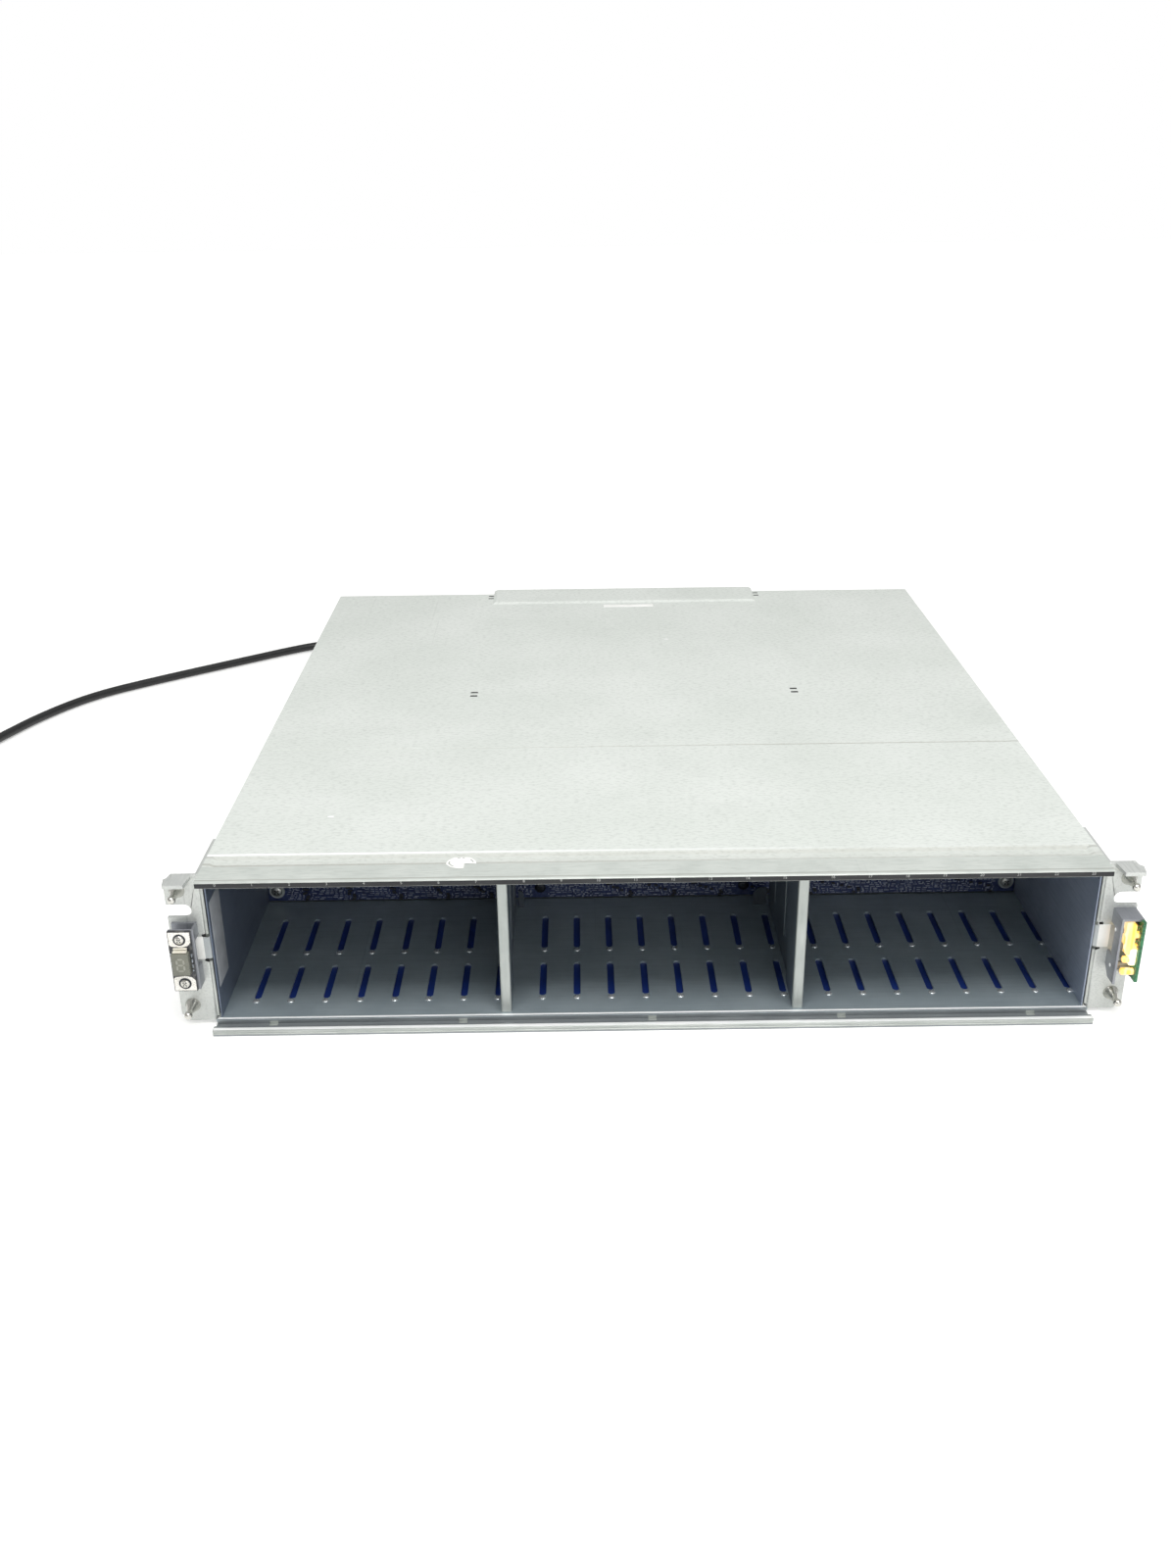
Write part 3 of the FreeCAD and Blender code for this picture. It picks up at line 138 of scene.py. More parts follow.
def linear(code: str) -> Colour:
    """Turn an sRGB hex colour into linear red, green, blue and alpha.

    Args:
        code: The colour as "#RRGGBB".

    Returns:
        Linear values from 0 to 1, with an alpha of 1.
    """
    parts = [int(code[i:i + 2], 16) / 255 for i in (1, 3, 5)]
    red, green, blue = [c / 12.92 if c <= 0.04045 else ((c + 0.055) / 1.055) ** 2.4 for c in parts]
    return red, green, blue, 1.0


def add_node(tree: Tree, kind: str, settings: dict[Key, Setting],
             links: Optional[dict[Key, Socket]] = None) -> Node:
    """Add one shader node with its settings and links.

    Args:
        tree: Node tree that takes the node.
        kind: Blender's name for the kind of node, after ShaderNode.
        settings: Lower-case names are properties, "stops" fills a colour ramp, the rest are inputs.
        links: Output sockets by the input that they feed.

    Returns:
        The new node.
    """
    node = tree.nodes.new(f"ShaderNode{kind}")
    for key, value in settings.items():
        if key == "stops":
            for element, (position, colour) in zip(node.color_ramp.elements, value):
                element.position = position
                element.color = colour
        elif isinstance(key, str) and key.islower():
            setattr(node, key, value)
        else:
            node.inputs[key].default_value = value
    for key, socket in (links or {}).items():
        tree.links.new(socket, node.inputs[key])
    return node


def ranged(value: Socket, low: float, high: float, start: float = 0.0, end: float = 1.0) -> Socket:
    """Map a value from one range to another.

    Args:
        value: The value, from any node; its tree takes the new node.
        low: Result at the start of the value's range.
        high: Result at its end.
        start: Start of the value's range.
        end: End of the value's range.

    Returns:
        The socket that carries the result.
    """
    limits = {"From Min": start, "From Max": end, "To Min": low, "To Max": high}
    return add_node(value.id_data, "MapRange", limits, {"Value": value}).outputs[0]


def worked(operation: str, *values: Union[Socket, float]) -> Socket:
    """Work out one step of arithmetic.

    Args:
        operation: Blender's name for the step; a sum is held between 0 and 1.
        values: Sockets or numbers, a socket first.

    Returns:
        The socket that carries the result.
    """
    links = {i: value for i, value in enumerate(values) if isinstance(value, Socket)}
    numbers = {i: value for i, value in enumerate(values) if i not in links}
    settings = {"operation": operation, "use_clamp": operation == "ADD", **numbers}
    return add_node(values[0].id_data, "Math", settings, links).outputs[0]


def layered(under: Socket, colour: str, share: Socket) -> Socket:
    """Return one colour laid over another by a share."""
    settings = {"data_type": "RGBA", 7: linear(colour)}
    return add_node(under.id_data, "Mix", settings, {0: share, 6: under}).outputs[2]


def noise(place: Socket, size_mm: float, detail: float, rough: float = 0.5) -> Socket:
    """Return soft noise of a size at a place in millimetres."""
    settings = {"Scale": 1 / size_mm, "Detail": detail, "Roughness": rough}
    return add_node(place.id_data, "TexNoise", settings, {"Vector": place}).outputs[0]


def stretched(place: Socket, sizes: Point, turn: float = 0.0) -> Socket:
    """Return a place counted in steps of a size along X, Y and Z, turned about Z first."""
    settings = {"Rotation": (0.0, 0.0, turn), "Scale": tuple(1 / size for size in sizes)}
    return add_node(place.id_data, "Mapping", settings, {"Vector": place}).outputs[0]


def ramp(value: Socket, *stops: tuple[float, str]) -> Socket:
    """Return a colour that runs between two colours at two stops of a value."""
    colours = [(position, linear(code)) for position, code in stops]
    return add_node(value.id_data, "ValToRGB", {"stops": colours}, {"Fac": value}).outputs[0]


@dataclass(frozen=True)
class Finish:
    """A surface: its name, two colours that cloud into each other, gloss and fine relief."""

    name: str
    colour: str
    cloud: str
    metallic: float
    roughness: Pair
    cloud_mm: float
    grain_mm: Point
    relief_mm: float
    ior: float = field(default=1.5, kw_only=True)

    def material(self) -> bpy.types.Material:
        """Return the finish as a material, made once."""
        made = bpy.data.materials.get(self.name)
        if made is None:
            made = bpy.data.materials.new(self.name)
            made.use_nodes = True
            shader = made.node_tree.nodes["Principled BSDF"]
            shader.inputs["Metallic"].default_value = self.metallic
            if self.metallic == 0.0:
                shader.inputs["IOR"].default_value = self.ior
            where = add_node(made.node_tree, "TexCoord", {}).outputs["Object"]
            self.paint(shader, stretched(where, (MM,) * 3))
        return made

    def tint(self, place: Socket) -> Socket:
        """Return the two colours, clouded into each other."""
        return ramp(noise(place, self.cloud_mm, 4.0), (0.36, self.colour), (0.68, self.cloud))

    def grain(self, place: Socket) -> Socket:
        """Return the fine grain of the surface, stretched along X, Y and Z as its sizes say."""
        return noise(stretched(place, self.grain_mm), 1.0, 2.0)

    def paint(self, shader: Node, place: Socket) -> None:
        """Link colour, roughness and relief to the shader.

        Args:
            shader: The material's principled shader.
            place: Position in millimetres.
        """
        grain = self.grain(place)
        bump = {"Strength": 0.5, "Distance": self.relief_mm * MM}
        feeds = {"Base Color": self.tint(place), "Roughness": ranged(grain, *self.roughness),
                 "Normal": add_node(place.id_data, "Bump", bump, {"Height": grain}).outputs[0]}
        for name, socket in feeds.items():
            place.id_data.links.new(socket, shader.inputs[name])


@dataclass(frozen=True)
class DirtAndPaintedLightLine:
    """A line along X, weaker at one end than at the other, for dirt, painted shade and painted highlights."""

    y_mm: float
    half_mm: float
    left_share: float
    right_share: float
    colour: str = "#8E8A80"

    def over(self, place: Socket, under: Socket) -> Socket:
        """Lay the line over a colour.

        Args:
            place: Position in millimetres.
            under: The colour below.

        Returns:
            The socket that carries the colour.
        """
        along = add_node(place.id_data, "SeparateXYZ", {}, {0: place}).outputs
        near = worked("ABSOLUTE", worked("SUBTRACT", along["Y"], self.y_mm))
        line_share = ranged(near, 1.0, 0.0, self.half_mm * 0.5, self.half_mm * 1.3)
        share = ranged(along["X"], self.left_share, self.right_share, -150.0, 100.0)
        return layered(under, self.colour, worked("MULTIPLY", line_share, share))


@dataclass(frozen=True)
class ZincSheet(Finish):
    """Cold-rolled steel sheet with a zinc coat: fine rolled grain, faint crystals, smudges and scratches."""

    streak: str
    crystal_mm: float
    streak_share: float
    smudge_mm: float
    smudge_share: float
    lines: tuple[DirtAndPaintedLightLine, ...] = ()

    def tint(self, place: Socket) -> Socket:
        """Lay crystals, rolled grain, dry smudges, long thin scratches and lines of dirt, painted shade and
        painted highlight over the clouded colour.

        Args:
            place: Position in millimetres.

        Returns:
            The socket that carries the colour.
        """
        crystals = add_node(place.id_data, "TexVoronoi", {"Scale": 1 / self.crystal_mm}, {"Vector": place})
        colour = layered(super().tint(place), self.cloud, ranged(crystals.outputs["Color"], 0.0, 0.16))
        scratches = stretched(place, (1.6, 150.0, 100.0), 0.07)
        for pattern, most, start, end in (
                (self.grain(place), self.streak_share, 0.48, 0.78),
                (noise(place, self.smudge_mm, 7.0, 0.68), self.smudge_share, 0.55, 0.74),
                (noise(scratches, 1.0, 0.0), self.smudge_share, 0.79, 0.86)):
            colour = layered(colour, self.streak, ranged(pattern, 0.0, most, start, end))
        for line in self.lines:
            colour = line.over(place, colour)
        return colour


@dataclass(frozen=True)
class SolderMask(Finish):
    """Glass-epoxy board under a solder mask: etched copper traces show as paler lines in the coat."""

    trace: str
    trace_mm: float

    def tint(self, place: Socket) -> Socket:
        """Draw traces as the edges of square cells over the mask's colour.

        Args:
            place: Position in millimetres.

        Returns:
            The socket that carries the colour.
        """
        squares = {"distance": "CHEBYCHEV", "feature": "F1", "Scale": 1 / self.trace_mm}
        cells = add_node(place.id_data, "TexVoronoi", squares, {"Vector": place})
        edges = ranged(cells.outputs["Distance"], 0.0, 0.6, 0.42, 0.5)
        return layered(super().tint(place), self.trace, edges)


@dataclass(frozen=True)
class LitAcrylic(Finish):
    """Clear tinted acrylic lit from behind: deep between the lamps and nearly white over them."""

    glow: str
    hot: str
    strength: float

    def paint(self, shader: Node, place: Socket) -> None:
        """Add the glow to the finish, brighter in tall patches.

        Args:
            shader: The material's principled shader.
            place: Position in millimetres.
        """
        super().paint(shader, place)
        patch = noise(stretched(place, (1.0, 1.0, 25 / 3)), self.cloud_mm, 1.0)
        light = ramp(patch, (0.42, self.glow), (0.64, self.hot))
        place.id_data.links.new(light, shader.inputs["Emission Color"])
        shader.inputs["Emission Strength"].default_value = self.strength


# Zinc-coated sheet straight from the rolling mill: dull, cool grey with a fine grain and no polish. The
# cover's lines are its pressed line, the handling film on its recessed band, painted shade behind the
# rail's step, a lap and a painted highlight on the bend.
COVER_ZINC = ZincSheet("zinc_coated_sheet_cover", "#DADFD9", "#E2E6E1", 0.2, (0.56, 0.7), 70.0,
                       (3.0, 1.4, 1.4), 0.014, "#A9AEA8", 3.2, 0.4, 52.0, 0.12,
                       (DirtAndPaintedLightLine(152.5, 0.6, 0.12, 0.62), DirtAndPaintedLightLine(7.0, 7.5, 0.13, 0.13),
                        # Y 7.4: painted shade behind the rail's step; Y 17.3, in white: a painted highlight
                        # on the bend.
                        DirtAndPaintedLightLine(7.4, 1.0, 0.42, 0.2), DirtAndPaintedLightLine(14.7, 1.3, 0.31, 0.34),
                        DirtAndPaintedLightLine(17.3, 1.0, 1.0, 0.1, "#FFFFFF")))
RAIL_ZINC = ZincSheet("zinc_coated_sheet_rail", "#CBD1CB", "#D8DDD7", 0.35, (0.4, 0.54), 24.0,
                      (7.0, 1.2, 1.2), 0.012, "#A8AEA8", 4.0, 0.35, 30.0, 0.3,
                      (DirtAndPaintedLightLine(-9.6, 0.6, 0.45, 0.45),))
# The same coat on the cage, painted a darker bluish grey as the shade inside the bay; it mirrors the dark
# bay.
CAGE_ZINC = ZincSheet("zinc_coated_sheet_cage", "#9BA8AE", "#AAB6BB", 0.48, (0.34, 0.5), 34.0,
                      (22.0, 1.0, 1.0), 0.01, "#868F98", 6.0, 0.3, 24.0, 0.3)
SIDE_ZINC = ZincSheet("zinc_coated_sheet_cage_sides", "#98A3B6", "#A7B1C2", 0.42, (0.36, 0.52), 34.0,
                      (1.0, 22.0, 1.0), 0.01, "#7C8698", 6.0, 0.3, 24.0, 0.3)
# The left cage side: the same coat, painted darker still as the deeper shade on that side.
DARKER_SHADED_SIDE_ZINC = replace(SIDE_ZINC, name="zinc_coated_sheet_darker_shaded_side", colour="#6D7789", cloud="#7C8697",
                     metallic=0.55)
# Webs of the partitions, deep between the carriers: the same coat, dull and painted dark as the shade there.
SHADED_WEB_ZINC = ZincSheet("zinc_coated_sheet_webs", "#636D76", "#727C85", 0.5, (0.32, 0.46), 26.0,
                     (1.0, 1.0, 16.0), 0.01, "#555E67", 5.0, 0.3, 20.0, 0.25)
# Folds of the pan and of the partitions: a little brighter than the flats, which on the ribs' crests is a
# painted highlight.
EDGE_ZINC = ZincSheet("zinc_coated_sheet_folds", "#B2B7B3", "#C1C5C1", 0.45, (0.32, 0.46), 26.0,
                      (14.0, 0.8, 0.8), 0.01, "#A0A6A2", 5.0, 0.3, 20.0, 0.25)
# Noses of the partitions: the same coat, lighter than the painted shade of their webs.
PARTITION_ZINC = ZincSheet("zinc_coated_sheet_partitions", "#AFB5B2", "#BEC3BF", 0.45, (0.34, 0.48), 26.0,
                           (1.0, 1.0, 16.0), 0.01, "#8E9491", 5.0, 0.3, 20.0, 0.25)
# Front ledge, rubbed by the carriers: smoother, so that it mirrors the dark bay behind it, and painted darker
# as shade; it also paints the contact shadow at the lip's foot, and the fold before the floor takes it too.
SHADED_LEDGE_ZINC = ZincSheet("zinc_coated_sheet_ledge", "#8A8F92", "#969B9D", 0.4, (0.28, 0.42), 26.0,
                       (14.0, 0.8, 0.8), 0.01, "#767B7E", 5.0, 0.35, 20.0, 0.3)
# Ears, pressed from thicker sheet and wiped by hands: pale and a little smoother than the cover.
EAR_ZINC = ZincSheet("zinc_coated_sheet_ears", "#C6C9C6", "#D6D9D5", 0.4, (0.32, 0.48), 14.0,
                     (1.0, 12.0, 1.0), 0.01, "#969A97", 4.0, 0.35, 14.0, 0.3)
# Board brackets: the same coat, painted darker as the ear's shade on them.
SHADED_BRACKET_ZINC = ZincSheet("zinc_coated_sheet_brackets", "#8F9299", "#9EA1A6", 0.5, (0.34, 0.48), 12.0,
                         (1.0, 9.0, 1.0), 0.01, "#767980", 4.0, 0.35, 12.0, 0.3)
# Turned-out feet of the partitions, deep in the bay: the same coat, dull and painted dark as the shade there.
SHADED_FOOT_ZINC = ZincSheet("zinc_coated_sheet_feet", "#4F565E", "#5D646C", 0.4, (0.42, 0.56), 18.0,
                       (1.0, 1.0, 9.0), 0.01, "#444A52", 4.0, 0.3, 12.0, 0.3)
# Cases of the modules, kept clean inside the chassis: bare zinc with a long rolled grain and a metal gleam.
MODULE_ZINC = ZincSheet("zinc_coated_sheet_modules", "#A9AFAF", "#BBC0BF", 0.75, (0.3, 0.46), 32.0,
                        (30.0, 0.8, 0.8), 0.01, "#8F9696", 6.0, 0.3, 40.0, 0.25)
# Nearly white: painted highlights on the lip's crest, the floor's front edge and the bracket posts' ends, and
# the cover's bright scuffs.
HIGHLIGHT_AND_SCUFF_WHITE = Finish("painted_highlight_and_scuff_white", "#F8FAF8", "#FFFFFF", 0.05, (0.18, 0.3), 12.0, (3.0, 0.3, 0.3),
                      0.004)
# The same zinc on the slots' small domes, painted paler than the floor as their highlight.
PALE_DOME_ZINC = Finish("zinc_painted_pale_dome_highlight", "#D6DBDC", "#F0F3F3", 0.72, (0.12, 0.22), 3.0, (0.4,) * 3, 0.004)
# Nickel plate over turned steel: bright, with fine lathe lines that soften the highlight.
NICKEL = Finish("nickel_plated_steel", "#C9C8C2", "#DAD8D1", 0.95, (0.16, 0.3), 4.0, (0.25,) * 3, 0.004)
# Die-cast shells of the rear ports: satin nickel, a little darker than the screws.
PORT_NICKEL = Finish("satin_nickel_shell", "#A9A9A5", "#BFBFBA", 0.9, (0.28, 0.42), 6.0, (0.3,) * 3, 0.006)
# Gold flash on copper contacts: warm and smooth.
GOLD = Finish("gold_flashed_copper", "#D8B25A", "#E6C878", 1.0, (0.2, 0.32), 2.0, (0.3,) * 3, 0.003)
# Tinned pads: solder that froze in small domes, pale and uneven.
TIN = Finish("tinned_solder", "#9FA8B4", "#C3CAD2", 0.75, (0.3, 0.5), 1.5, (0.4,) * 3, 0.02)
# Solder joints under a clear coat on the midplane: blue-grey, dull and uneven.
COATED_TIN = Finish("lacquered_solder", "#747B92", "#C0C4CF", 0.1, (0.36, 0.52), 3.0, (0.4,) * 3, 0.02)
# Bare ground pads of the display board: hot-dipped tin that froze nearly white.
BRIGHT_TIN = Finish("hot_dipped_tin_pad", "#EDEAE2", "#FAF8F2", 0.25, (0.2, 0.36), 4.0, (0.8,) * 3, 0.03)
# Black oxide on steel screws: near black, with a dull steel gleam on the edges.
BLACK_OXIDE = Finish("black_oxide_steel", "#2A2D33", "#383B42", 0.7, (0.36, 0.5), 3.0, (0.3,) * 3, 0.006)
# Painted shade in recesses, slots, notches and screw crosses: near black, where little light reaches.
PAINTED_RECESS_SHADE = Finish("painted_recess_shade", "#0F1011", "#17191B", 0.3, (0.45, 0.6), 1.0, (0.3,) * 3, 0.01)
# Extruded polyester sheet, tinted blue through: smooth and slightly glossy.
BLUE_FILM = Finish("blue_polyester_film", "#142A6C", "#1C3782", 0.0, (0.26, 0.4), 25.0, (3.0,) * 3, 0.01,
                   ior=1.6)
# Solder masks over glass epoxy, screened and baked: silky, with traces just visible in the coat.
NAVY_BOARD = SolderMask("navy_solder_mask", "#17224A", "#22305F", 0.0, (0.32, 0.44), 8.0, (0.5,) * 3, 0.01,
                        "#3C496B", 1.9, ior=1.55)
BLACK_BOARD = SolderMask("black_solder_mask", "#2B2C2F", "#3A3B3E", 0.0, (0.3, 0.42), 5.0, (0.5,) * 3, 0.02,
                         "#6A6A68", 2.2, ior=1.55)
GREEN_BOARD = SolderMask("green_solder_mask", "#1E5A3A", "#277048", 0.0, (0.3, 0.42), 8.0, (0.5,) * 3, 0.01,
                         "#3E8C5E", 1.5, ior=1.55)
# Moulded ABS with a spark-eroded tool texture: deep grey-black with a fine, even sparkle.
BLACK_ABS = Finish("moulded_abs_black", "#17181A", "#1F2022", 0.0, (0.42, 0.6), 20.0, (0.35,) * 3, 0.03,
                   ior=1.53)
LEVER_ABS = Finish("moulded_abs_lever", "#2C2F33", "#383B40", 0.0, (0.38, 0.54), 16.0, (0.4,) * 3, 0.03,
                   ior=1.53)
# Glass-filled nylon of the fan: duller and greyer than ABS.
FAN_NYLON = Finish("glass_filled_nylon", "#1B1C1D", "#262728", 0.0, (0.5, 0.66), 9.0, (0.5,) * 3, 0.03,
                   ior=1.53)
# Epoxy chip bodies: matt black with a faint dusty bloom.
CHIP_EPOXY = Finish("moulded_epoxy_chip", "#202226", "#2E3136", 0.0, (0.5, 0.65), 3.0, (0.3,) * 3, 0.02,
                    ior=1.55)
# Fired ceramic capacitors: biscuit brown, smooth.
CERAMIC = Finish("fired_ceramic", "#8A7358", "#A08A6C", 0.0, (0.3, 0.45), 1.0, (0.3,) * 3, 0.01, ior=1.6)
# Ivory housings of the small plugs: moulded nylon, slightly waxy.
IVORY_NYLON = Finish("moulded_nylon_ivory", "#DDD8C8", "#E8E4D6", 0.0, (0.35, 0.5), 4.0, (0.4,) * 3, 0.02,
                     ior=1.53)
# Soft plasticised vinyl drawn through a die: black, with a low satin sheen.
CORD_VINYL = Finish("extruded_vinyl_jacket", "#101112", "#191A1B", 0.0, (0.34, 0.48), 12.0, (0.7,) * 3, 0.03,
                    ior=1.52)
# Woven hook-and-loop strap: black, matt and napped.
TIE_CLOTH = Finish("hook_and_loop_strap", "#141516", "#24262A", 0.0, (0.8, 0.95), 1.2, (0.35,) * 3, 0.12)
# The wall label, painted grey as the shade on the left cage side: a soft gleam and small waves where it was
# pressed on.
SHADED_GREY_LABEL = Finish("label_film_painted_grey_as_shade", "#A8ABB0", "#BCBFC3", 0.2, (0.42, 0.56), 7.0, (2.5,) * 3, 0.05)
# Coated paper of the blank labels: white and matt, with a little handling grime.
PAPER = Finish("coated_label_paper", "#FAFAF7", "#EEEFEA", 0.0, (0.5, 0.66), 9.0, (0.4,) * 3, 0.01)
# Flat cable jacket: grey vinyl pressed over parallel wires, which show as fine ribs along it.
RIBBON_VINYL = Finish("flat_cable_vinyl", "#A9AFB1", "#B9BEBF", 0.0, (0.4, 0.55), 16.0, (30.0, 30.0, 1.2),
                      0.12, ior=1.52)
# Screen-printed inks on the rail: a dark band and pale figures, both matt.
DARK_INK = Finish("screen_ink_dark", "#1C1D20", "#27282B", 0.0, (0.45, 0.6), 20.0, (8.0, 0.4, 0.4), 0.01)
PALE_INK = Finish("screen_ink_pale", "#A9ABA8", "#BBBDB9", 0.0, (0.5, 0.6), 2.0, (0.3,) * 3, 0.01)
# Worn printing on the sticker: what is left of a grey ring, matt and thin.
GREY_INK = Finish("worn_grey_print", "#A6AAA5", "#B9BCB7", 0.0, (0.5, 0.65), 2.0, (0.5,) * 3, 0.004)
# Filled acrylic of the unlit display: olive-grey face, bars only a little paler.
DISPLAY_FACE = Finish("filled_acrylic_grey", "#74756A", "#808176", 0.0, (0.22, 0.34), 5.0, (0.4,) * 3, 0.006,
                      ior=1.49)
DISPLAY_BAR = Finish("milky_acrylic_bar", "#94958A", "#A0A196", 0.0, (0.25, 0.36), 2.0, (0.4,) * 3, 0.006,
                     ior=1.49)
# Tinted acrylic light guides with their lamps on: amber, and nearly white at the lamp.
AMBER = LitAcrylic("lit_amber_acrylic", "#D98A1C", "#EDA836", 0.0, (0.15, 0.25), 3.2, (0.5,) * 3, 0.01,
                   "#FFD468", "#FFFADC", 0.95, ior=1.49)
PALE_AMBER = LitAcrylic("lit_amber_tips", "#FFD978", "#FFE9A8", 0.0, (0.15, 0.25), 3.0, (0.5,) * 3, 0.01,
                        "#FFF4C8", "#FFFFFA", 1.3, ior=1.49)
# Green acrylic of the small panel lamps, moulded clear and unlit: glossy.
GREEN_LENS = Finish("green_acrylic_lens", "#2F7A45", "#3C9456", 0.0, (0.12, 0.2), 2.0, (0.5,) * 3, 0.005,
                    ior=1.49)


def dress(finish: Finish, *nodes: str, edge_mm: float = 0.0) -> None:
    """Give CAD nodes a finish, and rounded edges that catch the light.

    Args:
        finish: The finish for all the nodes.
        nodes: Names of the CAD nodes.
        edge_mm: Width of the edge rounding, or 0 for none.
    """
    for node in nodes:
        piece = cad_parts[node]
        if not piece.material_slots:
            piece.data.materials.append(finish.material())
        for held in piece.material_slots:
            held.material = finish.material()
        if edge_mm > 0:
            weld = piece.modifiers.new("joined_faces", "WELD")
            weld.merge_threshold = SUNK * MM
            edge = piece.modifiers.new("broken_edges", "BEVEL")
            edge.width = edge_mm * MM
            edge.segments = 2
            edge.limit_method = "ANGLE"
            edge.angle_limit = math.radians(40)
            edge.harden_normals = True
        LOG.info("node %s: %s", node, finish.name)


def directions(axis: Point) -> tuple[Vector, Vector, Vector]:
    """Return an axis of length 1 and two directions square to it."""
    ahead = Vector(axis).normalized()
    across = ahead.orthogonal().normalized()
    return ahead, across, ahead.cross(across)


def angles(steps: int) -> list[float]:
    """Return the angles of evenly spaced points round a ring."""
    return [2 * math.pi * i / steps for i in range(steps)]


def quarter(first: int) -> list[float]:
    """Return angles in steps of 15 degrees, from a step to the last one short of a quarter turn."""
    return [i * math.pi / 12 for i in range(first, 6)]


def domed(radius: float, height: float) -> list[Pair]:
    """Return the profile of a round head, from its seat to its top."""
    bend = [(radius * math.cos(t), height * (0.2 + 0.8 * math.sin(t))) for t in quarter(1)]
    return [(radius * 0.96, 0.0), (radius, height * 0.2), *bend, (0.0, height)]


def rounded(half_wide: float, half_high: float, square: float, steps: int = 40) -> list[Pair]:
    """Return the outline of a rounded oblong about 0, squarer the higher its third number."""
    def bent(part: float, half: float) -> float:
        """Return a coordinate from its part of the unit circle."""
        return math.copysign(abs(part) ** (2 / square), part) * half
    return [(bent(math.cos(t), half_wide), bent(math.sin(t), half_high)) for t in angles(steps)]


@dataclass
class Mould:
    """A piece in the making: its mesh in the shared frame, its finish, its material slot and its body."""

    name: str
    finish: Finish
    slot: Slot
    body: str = "chassis"
    smooth_deg: float = 38.0
    mesh: bmesh.types.BMesh = field(default_factory=bmesh.new)

    def corner(self, place: Sequence[float]) -> Corner:
        """Add a point given in millimetres and return it."""
        return self.mesh.verts.new(Vector(place) * MM)

    def face(self, rim: Sequence[Sequence[float]]) -> None:
        """Add one face from its corners in millimetres."""
        self.mesh.faces.new([self.corner(place) for place in rim])

    def block(self, low: Point, high: Point, edge_mm: float) -> None:
        """Add a block between two corners, its edges broken.

        Args:
            low: Lowest corner in millimetres.
            high: Highest corner in millimetres.
            edge_mm: Width of the broken edges.
        """
        middle = [(a + b) / 2 * MM for a, b in zip(low, high)]
        size = [(b - a) * MM for a, b in zip(low, high)]
        place = Matrix.Translation(middle) @ Matrix.Diagonal((*size, 1.0))
        corners = bmesh.ops.create_cube(self.mesh, size=1.0, matrix=place)["verts"]
        edges = list(dict.fromkeys(edge for corner in corners for edge in corner.link_edges))
        bmesh.ops.bevel(self.mesh, geom=edges, offset=edge_mm * MM, segments=2, profile=0.5, affect="EDGES")

    def skin(self, rings: Sequence[Sequence[Corner]], caps: bool = True) -> None:
        """Join rings of points with faces.

        Args:
            rings: Rings in order; a ring of one point is a tip.
            caps: True where the end rings are closed too.
        """
        for low, high in zip(rings, rings[1:]):
            for i, after in ((i, i + 1) for i in range(max(len(low), len(high)))):
                corners = (low[i % len(low)], low[after % len(low)], high[after % len(high)],
                           high[i % len(high)])
                self.mesh.faces.new(list(dict.fromkeys(corners)))
        for end in (rings[0], rings[-1]):
            if caps and len(end) > 2:
                self.mesh.faces.new(end)

    def turned(self, profile: Sequence[Pair], base: Point, axis: Point, steps: int = 24) -> None:
        """Add a form turned about an axis.

        Args:
            profile: Radius and distance along the axis for each ring, in millimetres.
            base: Point on the axis where the distance is 0.
            axis: Direction of the axis.
            steps: Points in a ring.
        """
        ahead, across, third = directions(axis)
        rings = []
        for radius, along in profile:
            centre = Vector(base) + ahead * along
            rings.append([self.corner(centre + (across * math.cos(t) + third * math.sin(t)) * radius)
                          for t in (angles(steps) if radius > 0 else [0.0])])
        self.skin(rings)

    def plate(self, rim: Sequence[Point], lift: Point) -> None:
        """Add a thin plate from the corners of its back and the way to its front."""
        self.skin([[self.corner(Vector(p) + Vector(way)) for p in rim] for way in ((0, 0, 0), lift)])

    def folded(self, plan: Sequence[Pair], low: float, high: float, thick: float, bend: float) -> None:
        """Add an upright strip that follows a plan in X and Y with rounded bends.

        Args:
            plan: Corners in X and Y, in millimetres.
            low: Height of its lower edge.
            high: Height of its upper edge.
            thick: Thickness of the strip.
            bend: Radius of the bends.
        """
        line = [Vector(plan[0])]
        for back, corner, ahead in zip(plan, plan[1:], plan[2:]):
            here = Vector(corner)
            come, go = [(Vector(end) - here).normalized() * bend for end in (back, ahead)]
            line += [here + come * (1 - t) ** 2 + go * t ** 2 for t in (i / 6 for i in range(7))]
        line.append(Vector(plan[-1]))
        rings = []
        for i, here in enumerate(line):
            run = line[min(i + 1, len(line) - 1)] - line[max(i - 1, 0)]
            out = Vector((-run.y, run.x)).normalized() * thick / 2
            corners = [(here + out, low), (here + out, high), (here - out, high), (here - out, low)]
            rings.append([self.corner((p.x, p.y, z)) for p, z in corners])
        self.skin(rings)

    def lettered(self, word: str, middle: Point, size_mm: float) -> None:
        """Add plain figures that face the front.

        Args:
            word: The figures.
            middle: Their middle in millimetres.
            size_mm: Their height.
        """
        text = bpy.data.curves.new("figure", "FONT")
        text.body = word
        text.size = size_mm * 1.4 * MM
        text.align_x = "CENTER"
        text.align_y = "CENTER"
        text.extrude = 0.01 * MM
        holder = bpy.data.objects.new("figure", text)
        mesh = bpy.data.meshes.new_from_object(holder)
        mesh.transform(Matrix.Translation(Vector(middle) * MM) @ Matrix.Rotation(math.pi / 2, 4, "X"))
        self.mesh.from_mesh(mesh)
        bpy.data.objects.remove(holder)
        bpy.data.curves.remove(text)
        bpy.data.meshes.remove(mesh)

